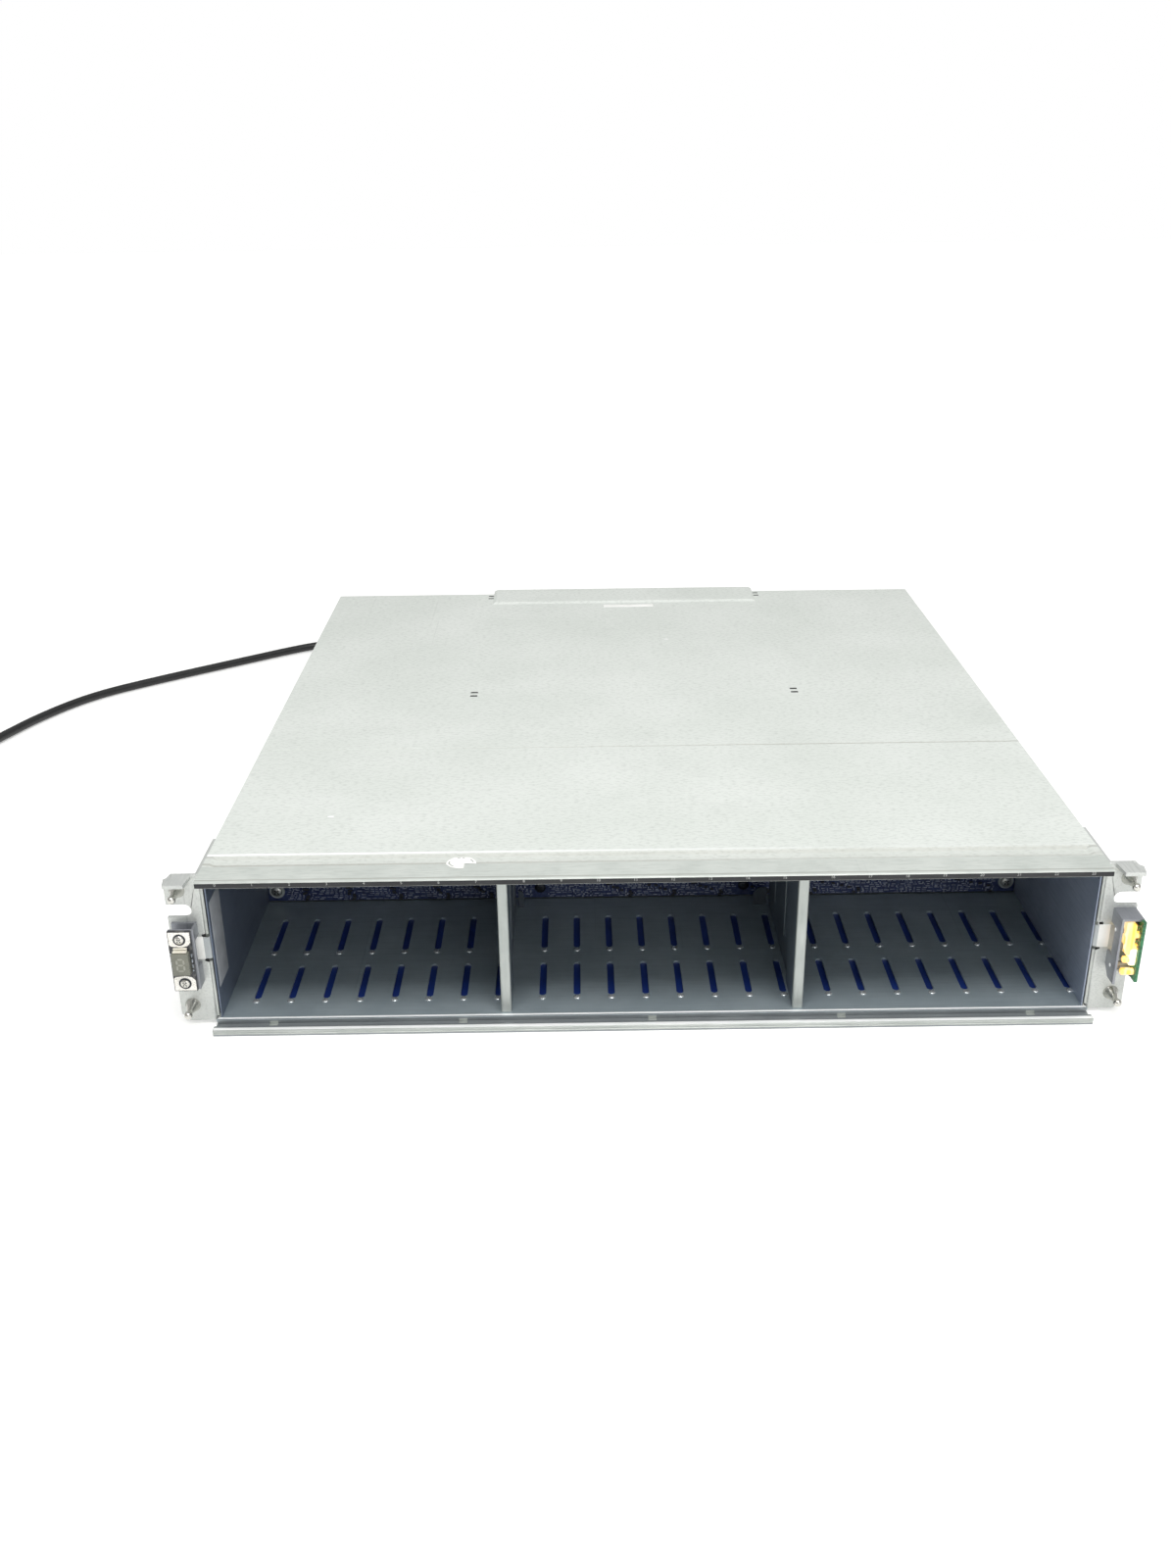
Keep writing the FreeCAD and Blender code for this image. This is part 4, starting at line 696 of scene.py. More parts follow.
    def settle(self) -> Piece:
        """Turn the finished mesh into a piece that rides on its body.

        Returns:
            The new piece.
        """
        bmesh.ops.recalc_face_normals(self.mesh, faces=self.mesh.faces)
        mesh = bpy.data.meshes.new(self.name)
        self.mesh.to_mesh(mesh)
        self.mesh.free()
        mesh.shade_smooth()
        mesh.set_sharp_from_angle(angle=math.radians(self.smooth_deg))
        mesh.materials.append(self.finish.material())
        piece = bpy.data.objects.new(self.name, mesh)
        bpy.context.scene.collection.objects.link(piece)
        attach(piece, self.body)
        LOG.info("piece %s: %s on %s", self.name, self.finish.name, self.body)
        return piece


def settle_all(*moulds: Mould) -> None:
    """Settle moulds whose pieces need nothing more."""
    for mould in moulds:
        mould.settle()


def screw(heads: Mould, crosses: Mould, seat: Point, axis: Point, radius: float, height: float) -> None:
    """Add a round screw head and the cross in its top, dark as painted shade in the recess.

    Args:
        heads: Mould that takes the head.
        crosses: Mould that takes the cross.
        seat: Middle of the head's seat in millimetres.
        axis: Direction in which the head stands.
        radius: Radius of the head.
        height: Height of the head.
    """
    heads.turned(domed(radius, height), seat, axis)
    ahead, across, third = directions(axis)
    top = Vector(seat) + ahead * (height + SUNK)
    long, thin = radius * 0.52, radius * 0.12
    for one, two in ((across, third), (third, across)):
        crosses.face([top + one * long * a + two * thin * b - ahead * height * 0.08 * abs(a)
                      for a, b in ((-1, -1), (0, -1.6), (1, -1), (1, 1), (0, 1.6), (-1, 1))])


def around(middle: Pair, half: Pair, low: float, high: float) -> Box:
    """Return the corners of a block from its middle and half sizes in plan and its two heights."""
    (x, y), (wide, deep) = middle, half
    return Box((x - wide, y - deep, low), (x + wide, y + deep, high))


def bay_pitch() -> float:
    """Return the width of one bay in millimetres."""
    return (PAN.high[0] - SHEET_MM - RIGHT_PARTITION.high[0]) / BAYS_IN_GROUP


def bay_centres() -> list[float]:
    """Return the middle X of the 24 bays in millimetres, from the left."""
    lefts = (PAN.low[0] + SHEET_MM, LEFT_PARTITION.high[0], RIGHT_PARTITION.high[0])
    return [left + (i + 0.5) * bay_pitch() for left in lefts for i in range(BAYS_IN_GROUP)]


@dataclass
class ChassisShell:
    """Pan, cover and top rail with the printed bay numbers and the blank stickers."""

    side: float = PAN.high[0] - 0.3
    front: float = PAN.low[1]
    lip_front: float = RAIL.low[1]
    strip_low: float = RAIL.low[2] + 0.1
    strip_high: float = TOP_MM - 0.6
    figure_mm: float = 1.5
    sticker_middle: Pair = (-95.0, 7.0)
    sticker_radius: float = 7.5
    sticker_tear: Pair = (0.25, 0.27)
    sticker_ring: Pair = (0.77, 0.86)
    sticker_arcs: tuple[tuple[int, int], ...] = ((14, 46), (76, 88), (98, 112), (160, 236))
    label_low: Pair = (-16.0, 429.0)
    label_high: Pair = (22.0, 435.0)
    top: float = TOP_MM
    recess: float = PAN.high[2]
    rail_rear: float = RAIL.high[1]
    slot_x: float = 103.5
    slot_ys: Pair = (242.7, 458.7)
    slot_step: float = 3.1
    slot_half: Pair = (2.25, 1.25)
    scuff_places: tuple[Pair, ...] = ((27.0, 350.0), (-168.0, 61.0))
    scuff_half: Pair = (1.6, 0.9)
    hole_xs: tuple[float, ...] = (-194.0, -97.0, 0.0, 97.0, 194.0)
    hole_rear: float = -4.75
    hole_half: float = 2.1
    hole_deep: float = 4.9
    ledge_rear: float = -2.35
    hem_high: float = 3.4
    hem_rear: float = PAN.low[1] + 4.0
    crest_rear: float = PAN.low[1] + 2.6

    def build(self) -> None:
        """Dress the sheets and add the print, the stickers and what shows in the small holes."""
        dress(COVER_ZINC, "top_cover", edge_mm=0.25)
        dress(RAIL_ZINC, "front_top_rail", edge_mm=0.2)
        dress(EDGE_ZINC, "base_pan", edge_mm=0.2)
        self.number_strip()
        self.round_sticker()
        self.cover_marks()
        self.ledge_depths()
        self.front_edge()

    def front_edge(self) -> None:
        """Paint a highlight on the lip's crest, and paint shade on the ledge behind it and along its foot."""
        crest = Mould("lip_crest_highlight", HIGHLIGHT_AND_SCUFF_WHITE, Slot.SHEET)
        ledge = Mould("ledge_painted_shade", SHADED_LEDGE_ZINC, Slot.SHEET)
        side, high = self.side, self.hem_high
        crest.block((-side, self.front + 0.45, high - COAT), (side, self.crest_rear, high + 0.05), 0.03)
        ledge.block((-side, self.crest_rear + 0.1, high - COAT), (side, self.hem_rear - SUNK, high + COAT),
                    0.02)
        start = -side
        for x in (*self.hole_xs, side + self.hole_half):
            ledge.block((start, self.hem_rear + SUNK, SHEET_MM - COAT),
                        (x - self.hole_half - 0.05, self.ledge_rear, SHEET_MM + COAT), 0.02)
            start = x + self.hole_half + 0.05
        # Painted contact shadow along the foot of the lip.
        ledge.block((-side, self.front - 0.03, 0.03), (side, self.front + 0.1, 0.9), 0.02)
        settle_all(crest, ledge)

    def cover_marks(self) -> None:
        """Lay the blank strip label and two scuffs on the cover, and dark blocks of painted shade in its
        slots.
        """
        label = Mould("strip_label", PAPER, Slot.RIBBON)
        depths = Mould("wall_slot_shade", PAINTED_RECESS_SHADE, Slot.SHEET)
        scuffs = Mould("cover_scuffs", HIGHLIGHT_AND_SCUFF_WHITE, Slot.SHEET)
        label.block((*self.label_low, self.top - SUNK), (*self.label_high, self.top + 0.09), 0.03)
        for side, y, step in product(Side, self.slot_ys, (-self.slot_step, self.slot_step)):
            middle = (side.value * self.slot_x, y + step)
            depths.block(*around(middle, self.slot_half, self.recess + SUNK, self.top - 0.1), 0.1)
        for place in self.scuff_places:
            scuffs.block(*around(place, self.scuff_half, self.top - SUNK, self.top + 0.03), 0.02)
        settle_all(label, depths, scuffs)

    def ledge_depths(self) -> None:
        """Lay the folded-under sheet below the five holes in the front ledge."""
        shape = Mould("ledge_hole_depths", EDGE_ZINC, Slot.SHEET)
        _, floor_front, floor_low = BAY_FLOOR.low
        for x in self.hole_xs:
            near, far = x - self.hole_half, x + self.hole_half
            shape.block((near, self.hole_rear - self.hole_deep, 0.15), (far, self.hole_rear, SHEET_MM - 0.05),
                        0.15)
            shape.block((near, floor_front - 0.12, SHEET_MM + 0.05),
                        (far, floor_front + 0.1, floor_low + 0.4), 0.05)
        shape.settle()

    def number_strip(self) -> None:
        """Print the dark band and the bay numbers on the rail's lip."""
        band = Mould("bay_number_band", DARK_INK, Slot.PLASTIC)
        figures = Mould("bay_numbers", PALE_INK, Slot.RIBBON)
        band.block((-self.side, self.lip_front - 0.05, self.strip_low),
                   (self.side, self.lip_front + 0.01, self.strip_high), 0.02)
        middle = self.strip_high - self.figure_mm / 2 - 0.05
        for number, x in enumerate(bay_centres()):
            figures.lettered(str(number), (x, self.lip_front - 0.07, middle), self.figure_mm)
        settle_all(band, figures)

    def sticker_height(self, y: float) -> float:
        """Return how high the round sticker lies where it drapes from the rail to the cover's recess."""
        slope = min(max((y - self.rail_rear) / 2.2, 0.0), 1.0)
        return self.top + (self.recess - self.top) * slope * slope * (3 - 2 * slope) + 0.06

    def sticker_reach(self, turn: float) -> float:
        """Return the share of the sticker's radius left in a direction: its right front part is torn off.

        Args:
            turn: The direction as an angle from X.

        Returns:
            1 for the whole radius, less in the tear.
        """
        across, ahead = math.cos(turn), -math.sin(turn)
        if across <= 0.0 or ahead <= 0.0:
            return 1.0
        return min(1.0, max(self.sticker_tear[0] / across, self.sticker_tear[1] / ahead))

    def sticker_point(self, turn: float, share: float, lift: float = 0.0) -> Point:
        """Return a point on the draped sticker, by direction, share of its radius and lift."""
        x, y = [m + self.sticker_radius * share * way(turn)
                for m, way in zip(self.sticker_middle, (math.cos, math.sin))]
        return x, y, self.sticker_height(y) + lift

    def round_sticker(self) -> None:
        """Lay the blank, torn round sticker over the step behind the rail, with its worn printed ring."""
        paper = Mould("round_sticker", PAPER, Slot.RIBBON, smooth_deg=80)
        worn = Mould("sticker_print_ring", GREY_INK, Slot.RIBBON, smooth_deg=80)
        rings = [[paper.corner(self.sticker_point(turn, self.sticker_reach(turn) * step / 12))
                  for turn in angles(96)] for step in range(1, 13)]
        paper.skin([[paper.corner(self.sticker_point(0.0, 0.0))], *rings], caps=False)
        for first, last in self.sticker_arcs:
            pairs = [[worn.corner(self.sticker_point(math.radians(angle), share, 0.03))
                      for share in self.sticker_ring] for angle in range(first, last + 1, 2)]
            for (inner, outer), (next_inner, next_outer) in zip(pairs, pairs[1:]):
                worn.mesh.faces.new((inner, outer, next_outer, next_inner))
        settle_all(paper, worn)


@dataclass
class DriveCage:
    """Slotted floor and ceiling, blue film, partitions, and the raised stop before each floor slot."""

    floor: float = BAY_FLOOR.high[2]
    slot_starts: Pair = (15.4, 63.6)
    slot_side: float = 2.4
    stop_ahead: float = 0.7
    stop_radius: float = 1.9
    stop_height: float = 0.75
    floor_front: float = BAY_FLOOR.low[1]
    label_low: Pair = (1.2, 19.9)
    label_high: Pair = (20.0, 69.0)
    nose_deep: float = 2.2
    foot_rear: float = LEFT_PARTITION.high[1] - 0.3
    foot_high: float = 14.6
    foot_bend: float = 5.5
    foot_reaches: Pair = (3.0, -7.8)
    rib_ys: Pair = (47.0, 84.0)
    rib_radius: float = 1.3
    rib_rise: float = 15.5

    def build(self) -> None:
        """Dress the cage and add its stops, feet, partition noses, painted crest highlights and the wall
        label.
        """
        dress(CAGE_ZINC, "bay_floor", "bay_ceiling", edge_mm=0.15)
        dress(SIDE_ZINC, "right_cage_side")
        dress(DARKER_SHADED_SIDE_ZINC, "left_cage_side")
        dress(SHADED_WEB_ZINC, "left_bay_partition", "right_bay_partition", edge_mm=0.2)
        dress(BLUE_FILM, "bay_floor_film")
        self.slot_stops()
        self.films()
        self.paint_floor_edge()
        self.partition_feet()
        self.partition_tones()

    def films(self) -> None:
        """Lay the tall blank label on the left cage side, and the blue film's end below the last slots."""
        label = Mould("wall_label", SHADED_GREY_LABEL, Slot.RIBBON)
        end = Mould("film_end", BLUE_FILM, Slot.PLASTIC)
        film, wall = box_of("bay_floor_film"), box_of("left_cage_side").high[0]
        label.block((wall, *self.label_low), (wall + 0.25, *self.label_high), 0.08)
        end.block((film.high[0] + 0.2, film.low[1] + 2.0, film.low[2] + 0.05),
                  (BAY_FLOOR.high[0] - 1.8, film.high[1] - 1.0, film.high[2] - 0.1), 0.1)
        settle_all(label, end)

    def partition_tones(self) -> None:
        """Wrap each partition's rounded nose in a skin lighter than its webs' painted shade, and paint
        highlights on its ribs' crests.
        """
        noses = Mould("partition_noses", PARTITION_ZINC, Slot.SHEET)
        crests = Mould("partition_rib_crests", EDGE_ZINC, Slot.SHEET)
        for wall in (LEFT_PARTITION, RIGHT_PARTITION):
            low, high, front = wall.low[0] - 0.03, wall.high[0] + 0.03, wall.low[1] - 0.03
            deep = front + self.nose_deep
            noses.folded(((low, deep), (low, front), (high, front), (high, deep)),
                         wall.low[2] + 0.05, wall.high[2] - 0.05, 0.06, SHEET_MM)
            for y, side in product(self.rib_ys, Side):
                place = (wall.middle(0) + side.value * self.rib_radius, y)
                crests.block(*around(place, (0.1, 0.3), self.floor + self.rib_rise, wall.high[2] - 0.3), 0.05)
        settle_all(noses, crests)

    def partition_feet(self) -> None:
        """Turn out a round-topped foot at the rear of each partition, on the side of the middle bays."""
        feet = Mould("partition_feet", SHADED_FOOT_ZINC, Slot.SHEET)
        for start, reach in zip((LEFT_PARTITION.high[0], RIGHT_PARTITION.low[0]), self.foot_reaches):
            bend = min(abs(reach), self.foot_bend)
            rim = [(start, self.floor + SUNK), (start + reach, self.floor + SUNK)]
            for turn in (math.pi / 2 * i / 8 for i in range(9)):
                rim.append((start + reach - math.copysign(bend * (1 - math.cos(turn)), reach),
                            self.foot_high - bend * (1 - math.sin(turn))))
            rim.append((start, self.foot_high))
            outline = dict.fromkeys((round(x, 4), round(z, 4)) for x, z in rim)
            feet.plate([(x, self.foot_rear, z) for x, z in outline], (0.0, -SHEET_MM, 0.0))
        feet.settle()

    def paint_floor_edge(self) -> None:
        """Paint a thin highlight along the front of the slotted floor, and fold the sheet down before it."""
        line = Mould("floor_edge_highlight", HIGHLIGHT_AND_SCUFF_WHITE, Slot.SHEET)
        fold = Mould("floor_front_fold", SHADED_LEDGE_ZINC, Slot.SHEET)
        low, high, front = BAY_FLOOR.low[0] + 0.3, BAY_FLOOR.high[0] - 0.3, self.floor_front
        line.block((low, front + 1.1, self.floor - 0.1), (high, front + 2.4, self.floor + 0.06), 0.05)
        fold.block((low, front - COAT, SHEET_MM + 0.06), (high, front + 1.0, self.floor + COAT), 0.3)
        settle_all(line, fold)

    def slot_stops(self) -> None:
        """Raise a small dome at the front end of each floor slot, painted pale as its highlight."""
        stops = Mould("slot_stops", PALE_DOME_ZINC, Slot.SHEET)
        aside = bay_pitch() / 2 - self.slot_side
        for x, start in product(bay_centres(), self.slot_starts):
            stops.turned(domed(self.stop_radius, self.stop_height),
                         (x + aside, start - self.stop_ahead - self.stop_radius, self.floor - 0.05), UP, 18)
        stops.settle()


@dataclass
class Midplane:
    """Board across the back of the bays with sockets, screws, washers and small components."""

    front: float = BOARD.low[1]
    socket_front: float = DRIVE_SOCKETS.low[1]
    socket_zs: Pair = (DRIVE_SOCKETS.low[2], DRIVE_SOCKETS.high[2])
    socket_half: float = 3.2
    socket_wall: float = 0.9
    inner_screw_x: float = 60.0
    outer_screw_x: float = BOARD.high[0] - 5.3
    screw_zs: Pair = (10.5, 75.4)
    screw_radius: float = 3.2
    screw_height: float = 1.6
    washer_radius: float = 4.6
    washer_hole: float = 2.6
    pad_rows: int = 9
    pad_low: float = 4.8

    def build(self) -> None:
        """Dress the boards and add sockets, screws and components."""
        dress(NAVY_BOARD, "midplane_board")
        dress(MODULE_ZINC, "midplane_frame", "left_module_wall", "right_module_wall", "module_shelf")
        dress(BLACK_ABS, "midplane_module_sockets", edge_mm=0.3)
        self.sockets()
        self.screws()
        self.components()

    def sockets(self) -> None:
        """Shape each drive socket as a shroud with a pocket and a contact tongue in it."""
        shrouds = Mould("drive_socket_shrouds", BLACK_ABS, Slot.PLASTIC)
        tongues = Mould("drive_socket_tongues", CHIP_EPOXY, Slot.PLASTIC)
        face, wall, (low, high) = self.socket_front, self.socket_wall, self.socket_zs
        depths = ((0.0, self.front), (0.0, face + 0.4), (0.3, face), (wall, face),
                  (wall + 0.2, self.front - 2.0))
        for x in bay_centres():
            rings = []
            for inset, y in depths:
                half, z0, z1 = self.socket_half - inset, low + inset, high - inset
                rim = ((x - half, z0), (x + half, z0), (x + half, z1), (x - half, z1))
                rings.append([shrouds.corner((px, y, pz)) for px, pz in rim])
            shrouds.skin(rings)
            tongues.block((x - 0.7, face + 1.5, low + 5.0), (x + 0.7, self.front - 1.9, high - 12.0), 0.15)
        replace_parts(shrouds.settle(), "midplane_drive_sockets")
        tongues.settle()

    def screws(self) -> None:
        """Seat bright screws with washers at the board's ends and dark ones nearer its middle."""
        heads = Mould("midplane_screw_heads", PORT_NICKEL, Slot.SCREW)
        dark = Mould("midplane_inner_screw_heads", BLACK_OXIDE, Slot.SCREW)
        crosses = Mould("midplane_screw_crosses", PAINTED_RECESS_SHADE, Slot.SCREW)
        washers = Mould("midplane_washers", EDGE_ZINC, Slot.SCREW)
        rim, hole, size = self.washer_radius, self.washer_hole, (self.screw_radius, self.screw_height)
        ring = [(hole, 0.0), (rim - 0.1, 0.0), (rim, 0.3), (rim - 0.2, 0.55), (hole, 0.55)]
        for side, z in product(Side, self.screw_zs):
            outer, inner = side.value * self.outer_screw_x, side.value * self.inner_screw_x
            washers.turned(ring, (outer, self.front + 0.01, z), FRONT, 40)
            screw(heads, crosses, (outer, self.front - 0.5, z), FRONT, *size)
            screw(dark, crosses, (inner, self.front - SUNK, z), FRONT, *size)
        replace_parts(heads.settle(), "midplane_screws")
        settle_all(dark, crosses, washers)

    def near_screw(self, x: float) -> bool:
        """Return True where a component would touch a screw or a washer."""
        outer, inner = abs(abs(x) - self.outer_screw_x), abs(abs(x) - self.inner_screw_x)
        return outer < self.washer_radius + 1.6 or inner < self.screw_radius + 1.4

    def components(self) -> None:
        """Spread pads, chips and capacitors over the board below the sockets."""
        pads = Mould("board_pads", COATED_TIN, Slot.DARK_BOARD)
        chips = Mould("board_chips", CHIP_EPOXY, Slot.DARK_BOARD)
        caps = Mould("board_capacitors", COATED_TIN, Slot.DARK_BOARD)
        for row in range(self.pad_rows):
            x, step = BOARD.low[0] + 8.0 + row % 3, 0
            while x < BOARD.high[0] - 9.0:
                drift, sway = math.sin(row * 37.7 + step * 78.2), math.cos(row * 9.7 + step * 12.9)
                wide, tall = (1.3 + 1.5 * abs(sway), 0.45) if drift > -0.6 else (0.5, 1.0)
                middle, z = x + wide / 2, self.pad_low + row * 1.2 + 0.4 * drift * sway
                x, step = x + wide + 0.6 + 0.8 * abs(drift), step + 1
                if drift > 0.97:
                    mould, half, rise, out, edge = chips, 1.0, 0.6, 0.8, 0.15
                elif drift < -0.985:
                    mould, half, rise, out, edge = caps, 0.4, 0.6, 0.6, 0.12
                else:
                    mould, half, rise, out, edge = pads, wide / 2, tall / 2, 0.2, 0.08
                if not self.near_screw(middle) and (mould is not pads or sway > -0.9):
                    mould.block((middle - half, self.front - out, z - rise),
                                (middle + half, self.front, z + rise), edge)
        settle_all(pads, chips, caps)


@dataclass
class RackEars:
    """Both ears with their ball studs, rivets and flat cables."""

    stud_x: float = 234.9
    stud_zs: Pair = (11.5, 77.7)
    face: float = -2.0
    stud_length: float = 10.0
    ball_radius: float = 2.1
    leg_outer: float = PAN.high[0] + 2.0
    rivet_y: float = 26.0
    rivet_zs: Pair = (19.0, 69.2)
    cable_low: float = CABLES.low[2]
    cable_high: float = CABLES.high[2]
    cable_inner: float = PAN.high[0] - SHEET_MM - 0.2
    cable_rear: float = 120.0
    tag_spans: tuple[Pair, Pair] = ((-231.2, -225.0), (223.6, 229.4))
    notch_xs: Pair = (PAN.high[0] + 0.1, PAN.high[0] + 2.3)
    notch_zs: tuple[Pair, Pair] = ((36.6, 38.9), (51.1, 53.2))
    notch_slant: float = 0.7

    def build(self) -> None:
        """Dress the ears and add studs, rivets and cables."""
        dress(EAR_ZINC, "left_ear", "right_ear", edge_mm=0.3)
        dress(SHADED_BRACKET_ZINC, "display_bracket", "status_bracket", edge_mm=0.2)
        self.fasteners()
        self.cables()
        self.cable_notch_shade()

    def cable_notch_shade(self) -> None:
        """Paint shade in the ends of the notch in each ear's fold, above and below the flat cable."""
        shape = Mould("cable_notch_shade", PAINTED_RECESS_SHADE, Slot.EAR)
        y = self.face - 0.01
        for side, (low, high) in product(Side, self.notch_zs):
            near, far = [side.value * x for x in self.notch_xs]
            above = high > self.cable_high
            far_low = low if above else low + self.notch_slant
            far_high = high - self.notch_slant if above else high
            shape.plate([(near, y, low), (far, y, far_low), (far, y, far_high), (near, y, high)],
                        (0.0, -0.05, 0.0))
        shape.settle()

    def fasteners(self) -> None:
        """Turn the ball studs, each a tapered shank, a neck and a ball, and set the rivets in the legs."""
        studs, rivets = Mould("ball_studs", NICKEL, Slot.SCREW), Mould("round_rivets", NICKEL, Slot.SCREW)
        ball = [(self.ball_radius * math.cos(t), self.stud_length + self.ball_radius * math.sin(t))
                for t in quarter(-3)]
        profile = [(3.9, 0.0), (3.9, 0.3), (3.5, 0.9), (2.6, 3.4), (1.8, 6.0), (1.45, 7.6), *ball,
                   (0.0, self.stud_length + self.ball_radius)]
        for side in Side:
            for z in self.stud_zs:
                studs.turned(profile, (side.value * self.stud_x, self.face + SUNK, z), FRONT, 28)
            for z in self.rivet_zs:
                rivets.turned(domed(2.2, 0.9), (side.value * (self.leg_outer - SUNK), self.rivet_y, z),
                              (side.value, 0, 0))
        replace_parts(studs.settle(), "ear_studs")
        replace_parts(rivets.settle(), "ear_rivets")

    def cables(self) -> None:
        """Lead the flat cables from the ear boards round the fold and back along the walls."""
        flat, tags = Mould("flat_cables", RIBBON_VINYL, Slot.RIBBON), Mould("cable_tags", PAPER, Slot.RIBBON)
        y, inner, rear = self.face - 0.25, self.cable_inner, self.cable_rear
        plans = (((-233.95, -8.6), (-233.95, y), (-inner, y), (-inner, rear)),
                 ((238.5, y), (inner, y), (inner, rear)))
        for plan, (start, end) in zip(plans, self.tag_spans):
            flat.folded(plan, self.cable_low, self.cable_high, 0.4, 1.0)
            tags.block((start, self.face - 0.6, self.cable_low - 0.4),
                       (end, self.face - SUNK, self.cable_high + 0.4), 0.15)
        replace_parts(flat.settle(), "ribbon_cables")
        tags.settle()


@dataclass
class EarBoards:
    """Digit display on the left ear and lit status board on the right ear."""

    display: Point = (DISPLAY_BOARD.middle(0), DISPLAY_BOARD.low[1], DIGITS.middle(2))
    display_deep: float = DISPLAY_BOARD.low[1] - DIGITS.low[1]
    display_half: Pair = (DIGITS.half(0), DIGITS.half(2))
    board_half: Pair = (DISPLAY_BOARD.half(0) - 0.4, DISPLAY_BOARD.half(2) - 0.4)
    bar_half: Pair = (1.7, 3.3)
    bar_thick: float = 0.5
    bar_gap: float = 0.3
    ridges: tuple[Point, Point] = ((6.15, 7.05, 2.6), (7.45, 8.1, 1.4))
    display_screw_zs: Pair = (30.5, 55.5)
    status_x: float = STATUS_BOARD.low[0]
    status_screw_y: float = -8.25
    status_screw_zs: Pair = (31.5, 52.0)
    screw_size: Pair = (2.4, 1.5)
    chip_zs: Pair = (28.6, 57.2)
    guide_y: float = GUIDES.middle(1)
    guide_zs: tuple[float, float, float, float] = (31.25, 38.25, 45.25, 52.25)
    guide_radius: float = 1.8
    guide_length: float = GUIDES.high[0] - GUIDES.low[0]

    def build(self) -> None:
        """Dress the boards and add the display, the lights and the screws."""
        dress(BLACK_BOARD, "display_board", edge_mm=0.15)
        dress(GREEN_BOARD, "status_board", edge_mm=0.15)
        self.figure()
        self.pads()
        self.lights()
        self.screws()
        self.parts()

    def on_display(self, x: float, out: float, z: float) -> Point:
        """Return a point by its place from the display's middle and its distance before the board."""
        return self.display[0] + x, self.display[1] - out, self.display[2] + z

    def bar(self, bars: Mould, middle: Pair, half: float, upright: bool) -> None:
        """Add one pointed bar of the figure.

        Args:
            bars: Mould that takes the bar.
            middle: Its middle in X and Z, from the display's middle.
            half: Half its length.
            upright: True where it stands, False where it lies.
        """
        thick, long = self.bar_thick, half - self.bar_thick
        rim = ((-half, 0), (-long, thick), (long, thick), (half, 0), (long, -thick), (-long, -thick))
        way = -1 if upright else 1
        bars.face([self.on_display(middle[0] + x, self.display_deep + 0.03, middle[1] + z)
                   for x, z in (corner[::way] for corner in rim)])

    def figure(self) -> None:
        """Shape the display block and the bars of its unlit figure."""
        body = Mould("figure_block", DISPLAY_FACE, Slot.DISPLAY)
        bars = Mould("figure_bars", DISPLAY_BAR, Slot.DISPLAY)
        (wide, high), (reach, rise) = self.display_half, self.bar_half
        body.block(self.on_display(-wide, self.display_deep, -high), self.on_display(wide, 0.0, high), 0.25)
        for z in (rise, 0.0, -rise):
            self.bar(bars, (0.0, z), reach - self.bar_gap, False)
        for middle in product((-reach, reach), (rise / 2, -rise / 2)):
            self.bar(bars, middle, rise / 2 - self.bar_gap, True)
        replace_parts(body.settle(), "digit_display")
        bars.settle()

    def pads(self) -> None:
        """Coat both ends of the display board with bright tin, and add its pins and small parts."""
        tin = Mould("display_ground_pads", BRIGHT_TIN, Slot.SCREW)
        pins = Mould("display_pin_ridges", IVORY_NYLON, Slot.RIBBON)
        bits = Mould("display_board_bits", TIN, Slot.SCREW)
        half, tall = self.board_half
        root = self.display_half[1] + 2.2
        rim = ((-half, tall), (half, tall), (half, root + 2.6), (half - 1.6, root + 0.8), (0.6, root),
               (-half + 1.0, root + 0.6), (-half, root + 1.6))
        for end in (-1, 1):
            tin.plate([self.on_display(x, -0.01, end * z) for x, z in rim], (0.0, -0.16, 0.0))
        for low, high, out in self.ridges:
            pins.block(self.on_display(-3.6, out, low), self.on_display(3.4, -0.01, high), 0.3)
        for i, x in product(range(7), (-half - 0.1, half - 0.55)):
            z = 1.5 * i - 4.6 + 0.3 * math.sin(3.1 * i + x)
            bits.block(self.on_display(x, 0.6, z - 0.4), self.on_display(x + 0.65, -0.01, z + 0.35), 0.12)
        settle_all(tin, pins, bits)

    def lights(self) -> None:
        """Stand the four guides, and mould the lit block over them with the nearly white lamp at its foot."""
        rods, warm = Mould("light_guides", AMBER, Slot.LIGHT), Mould("lit_guide_block", AMBER, Slot.LIGHT)
        hot = Mould("lit_lamp_foot", PALE_AMBER, Slot.LIGHT)
        specks = Mould("status_board_parts", CERAMIC, Slot.GREEN_BOARD)
        radius, length = self.guide_radius, self.guide_length
        tip = [(radius * math.cos(t), length - radius * 0.6 * (1 - math.sin(t))) for t in quarter(0)]
        for z in self.guide_zs:
            rods.turned([(radius, 0.0), *tip, (0.0, length)], (self.status_x, self.guide_y, z), (-1, 0, 0))
        near, far = self.guide_y - 1.9, self.guide_y + 7.6
        wall, board = self.status_x - length + 0.7, self.status_x - SUNK
        foot, split, top = self.guide_zs[1] - 2.8, self.guide_zs[2] - 0.1, self.guide_zs[3] + 6.2
        hot.block((board - 3.4, near - 0.3, foot), (board, near + 5.2, split - 0.1), 0.9)
        warm.block((wall, near, split), (board - 1.8, far, top), 0.6)
        warm.block((wall + 0.2, near - 0.1, split - 3.6), (board - 3.5, near + 4.5, split + 0.2), 0.5)
        for step in range(10):
            y, z = near - 0.5 + 1.5 * (step % 3), split + 1.2 + 1.3 * step
            specks.block((board - 0.6, y, z - 0.4), (board + 0.02, y + 0.9, z + 0.4), 0.1)
        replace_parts(rods.settle(), "status_lights")
        settle_all(hot, warm, specks)

